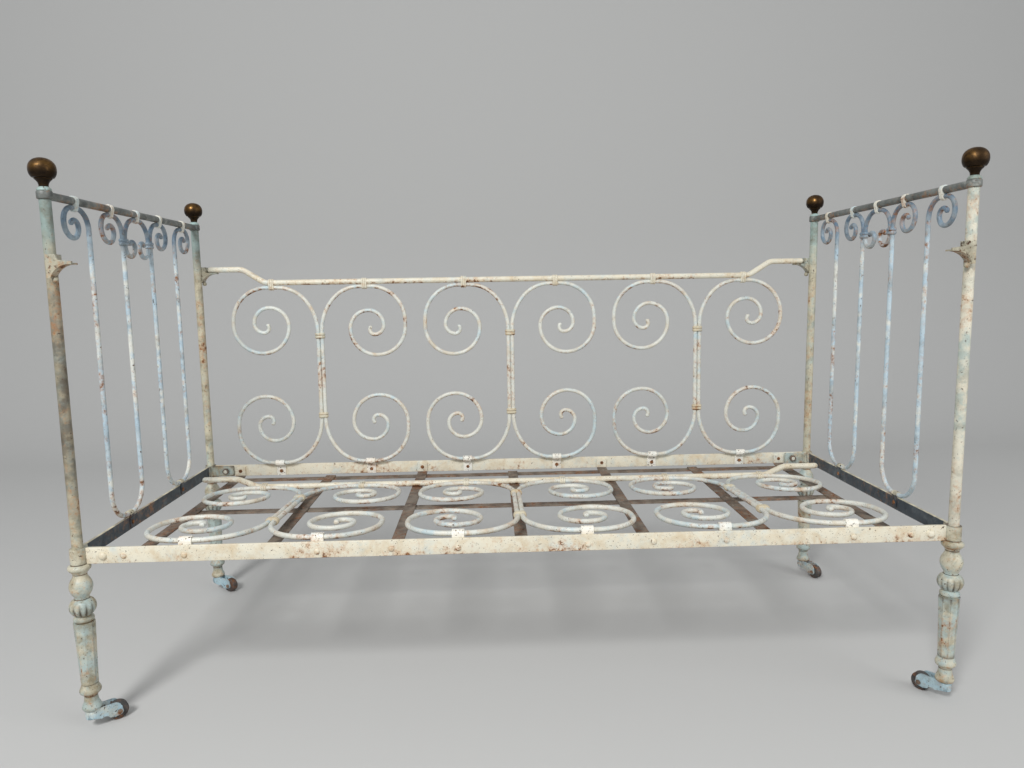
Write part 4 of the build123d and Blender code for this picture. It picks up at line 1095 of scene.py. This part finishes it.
for row, side in (("front", -1), ("rear", 1)):
    low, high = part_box(row + "_side_rail")
    bar = railMesh(row + "_side_rail", 0, railPaint, 9)
    mesh = joinMeshes([bar, strapEndPaint(strapSizes, side)])
    worn, sound = railSizes["worn"], railSizes["sound"]
    markPoints(mesh, "worn", lambda z: worn + (sound - worn) * (z - low.z) / (high.z - low.z))
    showPiece(row + "_long_rail", row + "_side_rail", mesh, railPaint)
    mesh = softCopy(row + "_hinge_straps", railSizes["hingeEdge"])
    showPiece(row + "_hinge_plates", row + "_hinge_straps", mesh, platePaint)
for label in ("left", "right"):
    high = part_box(label + "_end_rail")[1]
    mesh = railMesh(label + "_end_rail", 1, darkPaint, 7)
    # a painted highlight along the top edge of each end rail
    highlightZ = high.z - railSizes["edge"] * railSizes["highlightShare"]
    markPoints(mesh, "paleCoatAndHighlight", lambda z: 1.0 if z > highlightZ else 0.0)
    showPiece(label + "_cross_rail", label + "_end_rail", mesh, darkPaint)

strapValues = {
    **strapSizes["dents"], "Across": strapSizes["width"], "Upright": strapSizes["thickness"],
    "Edge Radius": strapSizes["edge"]}
crossZ = latticeTop - strapSizes["thickness"] / 2
lowZ = crossZ - strapSizes["thickness"]
endY = -railHigh.y - strapSizes["thickness"] / 2
reachX, reachY = [strapSizes[key] + strapSizes["width"] / 2 for key in ("firstX", "outerY")]
longPaths = []
for x in strapX[0::2]:
    corners = [Vector((x, side * endY, z)) for side, z in ((-1, topZ), (-1, crossZ), (1, crossZ), (1, topZ))]
    longPaths.append(fillRuns(easeCorners(corners, strapSizes["bend"], strapSizes["bendSteps"])))
shortPaths = [straightPath((x, -reachY, crossZ), (x, reachY, crossZ)) for x in strapX[1::2]]
lengthPaths = [straightPath((-reachX, y, lowZ), (reachX, y, lowZ)) for y in strapY]
for label, paths in (("long_cross", longPaths), ("short_cross", shortPaths), ("lengthwise", lengthPaths)):
    mesh = flatBars(paths, rustyIron, strapValues)
    showPiece(label + "_lattice", label + "_straps", mesh, rustyIron)
print("daybed: rails and lattice made")


# Rivets and bolts
rivetSizes = {
    "shank": 0.0025, "tail": 0.004, "tailHeight": 0.0015, "tailEdge": 0.0005, "head": 0.00475,
    "headHeight": 0.003, "lowHeight": 0.0022, "tailWorn": 0.18, "around": 20, "play": 0.05, "seed": 60,
    "hingeDrop": 0.020, "strapDrop": 0.014, "footDrop": 0.011, "footFace": 0.0045, "hingeGrip": 0.0075,
    "strapGrip": 0.008, "footGrip": 0.009, "latticeGrip": 0.006, "latticePlay": 0.06, "latticeSeed": 70}
boltSizes = {
    "inset": 0.038, "length": 0.0175, "tip": 0.0003, "tipRadius": 0.0034, "shank": 0.004, "head": 0.0065,
    "headHeight": 0.00585, "around": 24, "play": 0.03, "seed": 80, "nutEdge": 0.0006}
freeTurn = 3.1


def domeRings(radius, height, steps=6):
    angles = [math.pi / 2 * k / steps for k in range(steps + 1)]
    return [(height * math.sin(angle), radius * math.cos(angle) ** 0.8 + 1e-4) for angle in angles]


def rivetShape(sizes, grip, height):
    tailLow = -grip - sizes["tailHeight"]
    tail = [(tailLow, sizes["tail"] * 0.6), (tailLow + sizes["tailEdge"], sizes["tail"] * 0.95),
            (-grip, sizes["tail"])]
    shank = [(-grip, sizes["shank"]), (0.0, sizes["shank"])]
    form = turnedForm(tail + shank + domeRings(sizes["head"], height), sizes["around"])
    wear = form.verts.layers.float.new("worn")
    for k, vert in enumerate(form.verts):
        vert[wear] = sizes["tailWorn"] if k < len(tail) * sizes["around"] else 0.0
    return meshFrom(form)


def towardY(side):
    return Quaternion((1, 0, 0), -side * math.pi / 2)


hingeSeats, strapSeats, footSeats = [], [], []
for side in (-1, 1):
    faceY = side * -railLow.y
    for pair in (-1, 0, 1):
        for offset in (-sideSizes["clipOffset"], sideSizes["clipOffset"]):
            x, z = pair * sideSizes["pairPitch"] + offset, hingeFront.z - rivetSizes["hingeDrop"]
            hingeSeats.append((Vector((x, faceY, z)), towardY(side)))
    for x in strapX[0::2]:
        strapSeats.append((Vector((x, faceY, railHigh.z - rivetSizes["strapDrop"])), towardY(side)))
    faceX = side * (endX + rivetSizes["footFace"])
    for y in (-footY, footY):
        place = Vector((faceX, y, railHigh.z - rivetSizes["footDrop"]))
        footSeats.append((place, Quaternion((0, 1, 0), side * math.pi / 2)))
parts = []
for k, (label, seats) in enumerate((("hinge", hingeSeats), ("strap", strapSeats), ("foot", footSeats))):
    shape = rivetShape(rivetSizes, rivetSizes[label + "Grip"], rivetSizes["headHeight"])
    parts.append(seatShapes(shape, seats, rivetPaint, rivetSizes["seed"] + k, rivetSizes["play"], freeTurn))
showPiece("rail_rivet_heads", "rail_rivets", joinMeshes(parts), rivetPaint)
seats = [(Vector((x, y, latticeTop)), Quaternion()) for x in strapX for y in strapY]
shape = rivetShape(rivetSizes, rivetSizes["latticeGrip"], rivetSizes["lowHeight"])
mesh = seatShapes(shape, seats, rustyIron, rivetSizes["latticeSeed"],
                  rivetSizes["latticePlay"], freeTurn)
showPiece("lattice_rivet_heads", "lattice_rivets", mesh, rustyIron)

shank = [(-boltSizes["length"], boltSizes["tipRadius"]),
         (boltSizes["tip"] - boltSizes["length"], boltSizes["shank"]), (0.0, boltSizes["shank"])]
head = domeRings(boltSizes["head"], boltSizes["headHeight"])
shape = meshFrom(turnedForm(shank + head, boltSizes["around"]))
boltX = endX - boltSizes["inset"]
boltZ = (railLow.z + railHigh.z) / 2
seats = [(Vector((x, side * -railLow.y, boltZ)), towardY(side)) for x in (-boltX, boltX) for side in (-1, 1)]
mesh = seatShapes(shape, seats, railPaint, boltSizes["seed"], boltSizes["play"], freeTurn)
showPiece("rail_bolt_heads", "side_rail_bolts", mesh, railPaint)
mesh = softCopy("side_rail_nuts", boltSizes["nutEdge"])
showPiece("rail_bolt_nuts", "side_rail_nuts", mesh, rustyIron)
print("daybed: fasteners made")


# Casters
forkEase = {"radius": 0.0009, "minLength": 0.0012}
for corner in postPlaces:
    mesh = softCopy(corner + "_fork", **forkEase)
    showPiece(corner + "_caster_fork", corner + "_fork", mesh, bluePaint, corner + "_caster")
    for node, finish in ((corner + "_axle", rustyIron), (corner + "_wheel", darkIron)):
        cadNodes[node].data.materials.clear()
        cadNodes[node].data.materials.append(finish)
print("daybed: casters made")


# Floor, light and camera
stageSizes = {
    "half": 6.0, "front": -6.0, "bend": 1.0, "bendSteps": 12, "wallY": 2.6, "wallTop": 5.0,
    "colour": srgb(196, 196, 194), "roughness": 0.9}
lampSizes = {
    "keyLamp": {"place": (-1.3, -3.0, 3.0), "size": 1.1, "power": 118.0},
    "fillLamp": {"place": (2.8, -2.0, 1.7), "size": 2.4, "power": 30.0}}
lampAim = Vector((0, 0, 0.4))
roomLight = {"Color": (0.95, 0.97, 1.0, 1.0), "Strength": 0.44}
photoView = {
    "place": (-0.0469, -1.4131, 0.687), "yaw": 0.0292, "pitch": 0.1248, "roll": -0.0167,
    "focalPixels": 735.6, "frameWidth": 1024, "sensor": 36.0}


def buildStage(sizes):
    line = [(sizes["front"], 0.0)]
    for k in range(sizes["bendSteps"] + 1):
        angle = math.pi / 2 * k / sizes["bendSteps"]
        y = sizes["wallY"] - sizes["bend"] * (1 - math.sin(angle))
        line.append((y, sizes["bend"] * (1 - math.cos(angle))))
    line.append((sizes["wallY"], sizes["wallTop"]))
    points = [(side * sizes["half"], y, z) for y, z in line for side in (-1, 1)]
    faces = [(2 * k, 2 * k + 1, 2 * k + 3, 2 * k + 2) for k in range(len(line) - 1)]
    mesh = bpy.data.meshes.new("paleFloor")
    mesh.from_pydata(points, [], faces)
    mesh.polygons.foreach_set("use_smooth", [True] * len(mesh.polygons))
    finish = bpy.data.materials.new("paleFloor")
    finish.use_nodes = True
    shader = finish.node_tree.nodes["Principled BSDF"].inputs
    shader["Base Color"].default_value = sizes["colour"]
    shader["Roughness"].default_value = sizes["roughness"]
    mesh.materials.append(finish)
    floor = bpy.data.objects.new("pale_floor", mesh)
    scene.collection.objects.link(floor)


def addLamp(name, place, size, power):
    lamp = bpy.data.lights.new(name, "AREA")
    lamp.shape = "DISK"
    lamp.size = size
    lamp.energy = power
    holder = bpy.data.objects.new(name, lamp)
    holder.location = place
    holder.rotation_euler = (lampAim - Vector(place)).to_track_quat("-Z", "Y").to_euler()
    scene.collection.objects.link(holder)


def buildCamera(view):
    yaw, pitch, roll = view["yaw"], view["pitch"], view["roll"]
    ahead = Vector((math.sin(yaw) * math.cos(pitch), math.cos(yaw) * math.cos(pitch), -math.sin(pitch)))
    level = Vector((math.cos(yaw), -math.sin(yaw), 0))
    upward = level.cross(ahead)
    right = math.cos(roll) * level + math.sin(roll) * upward
    top = -math.sin(roll) * level + math.cos(roll) * upward
    turn = Matrix((right, top, -ahead)).transposed().to_4x4()
    data = bpy.data.cameras.new("photoCamera")
    data.sensor_width = view["sensor"]
    data.lens = view["focalPixels"] * view["sensor"] / view["frameWidth"]
    camera = bpy.data.objects.new("photoCamera", data)
    camera.matrix_world = Matrix.Translation(view["place"]) @ turn
    scene.collection.objects.link(camera)
    scene.camera = camera


buildStage(stageSizes)
for name, lamp in lampSizes.items():
    addLamp(name, **lamp)
world = bpy.data.worlds.new("softRoom")
world.use_nodes = True
for label, value in roomLight.items():
    world.node_tree.nodes["Background"].inputs[label].default_value = value
scene.world = world
buildCamera(photoView)
print("daybed: floor, light and camera made")
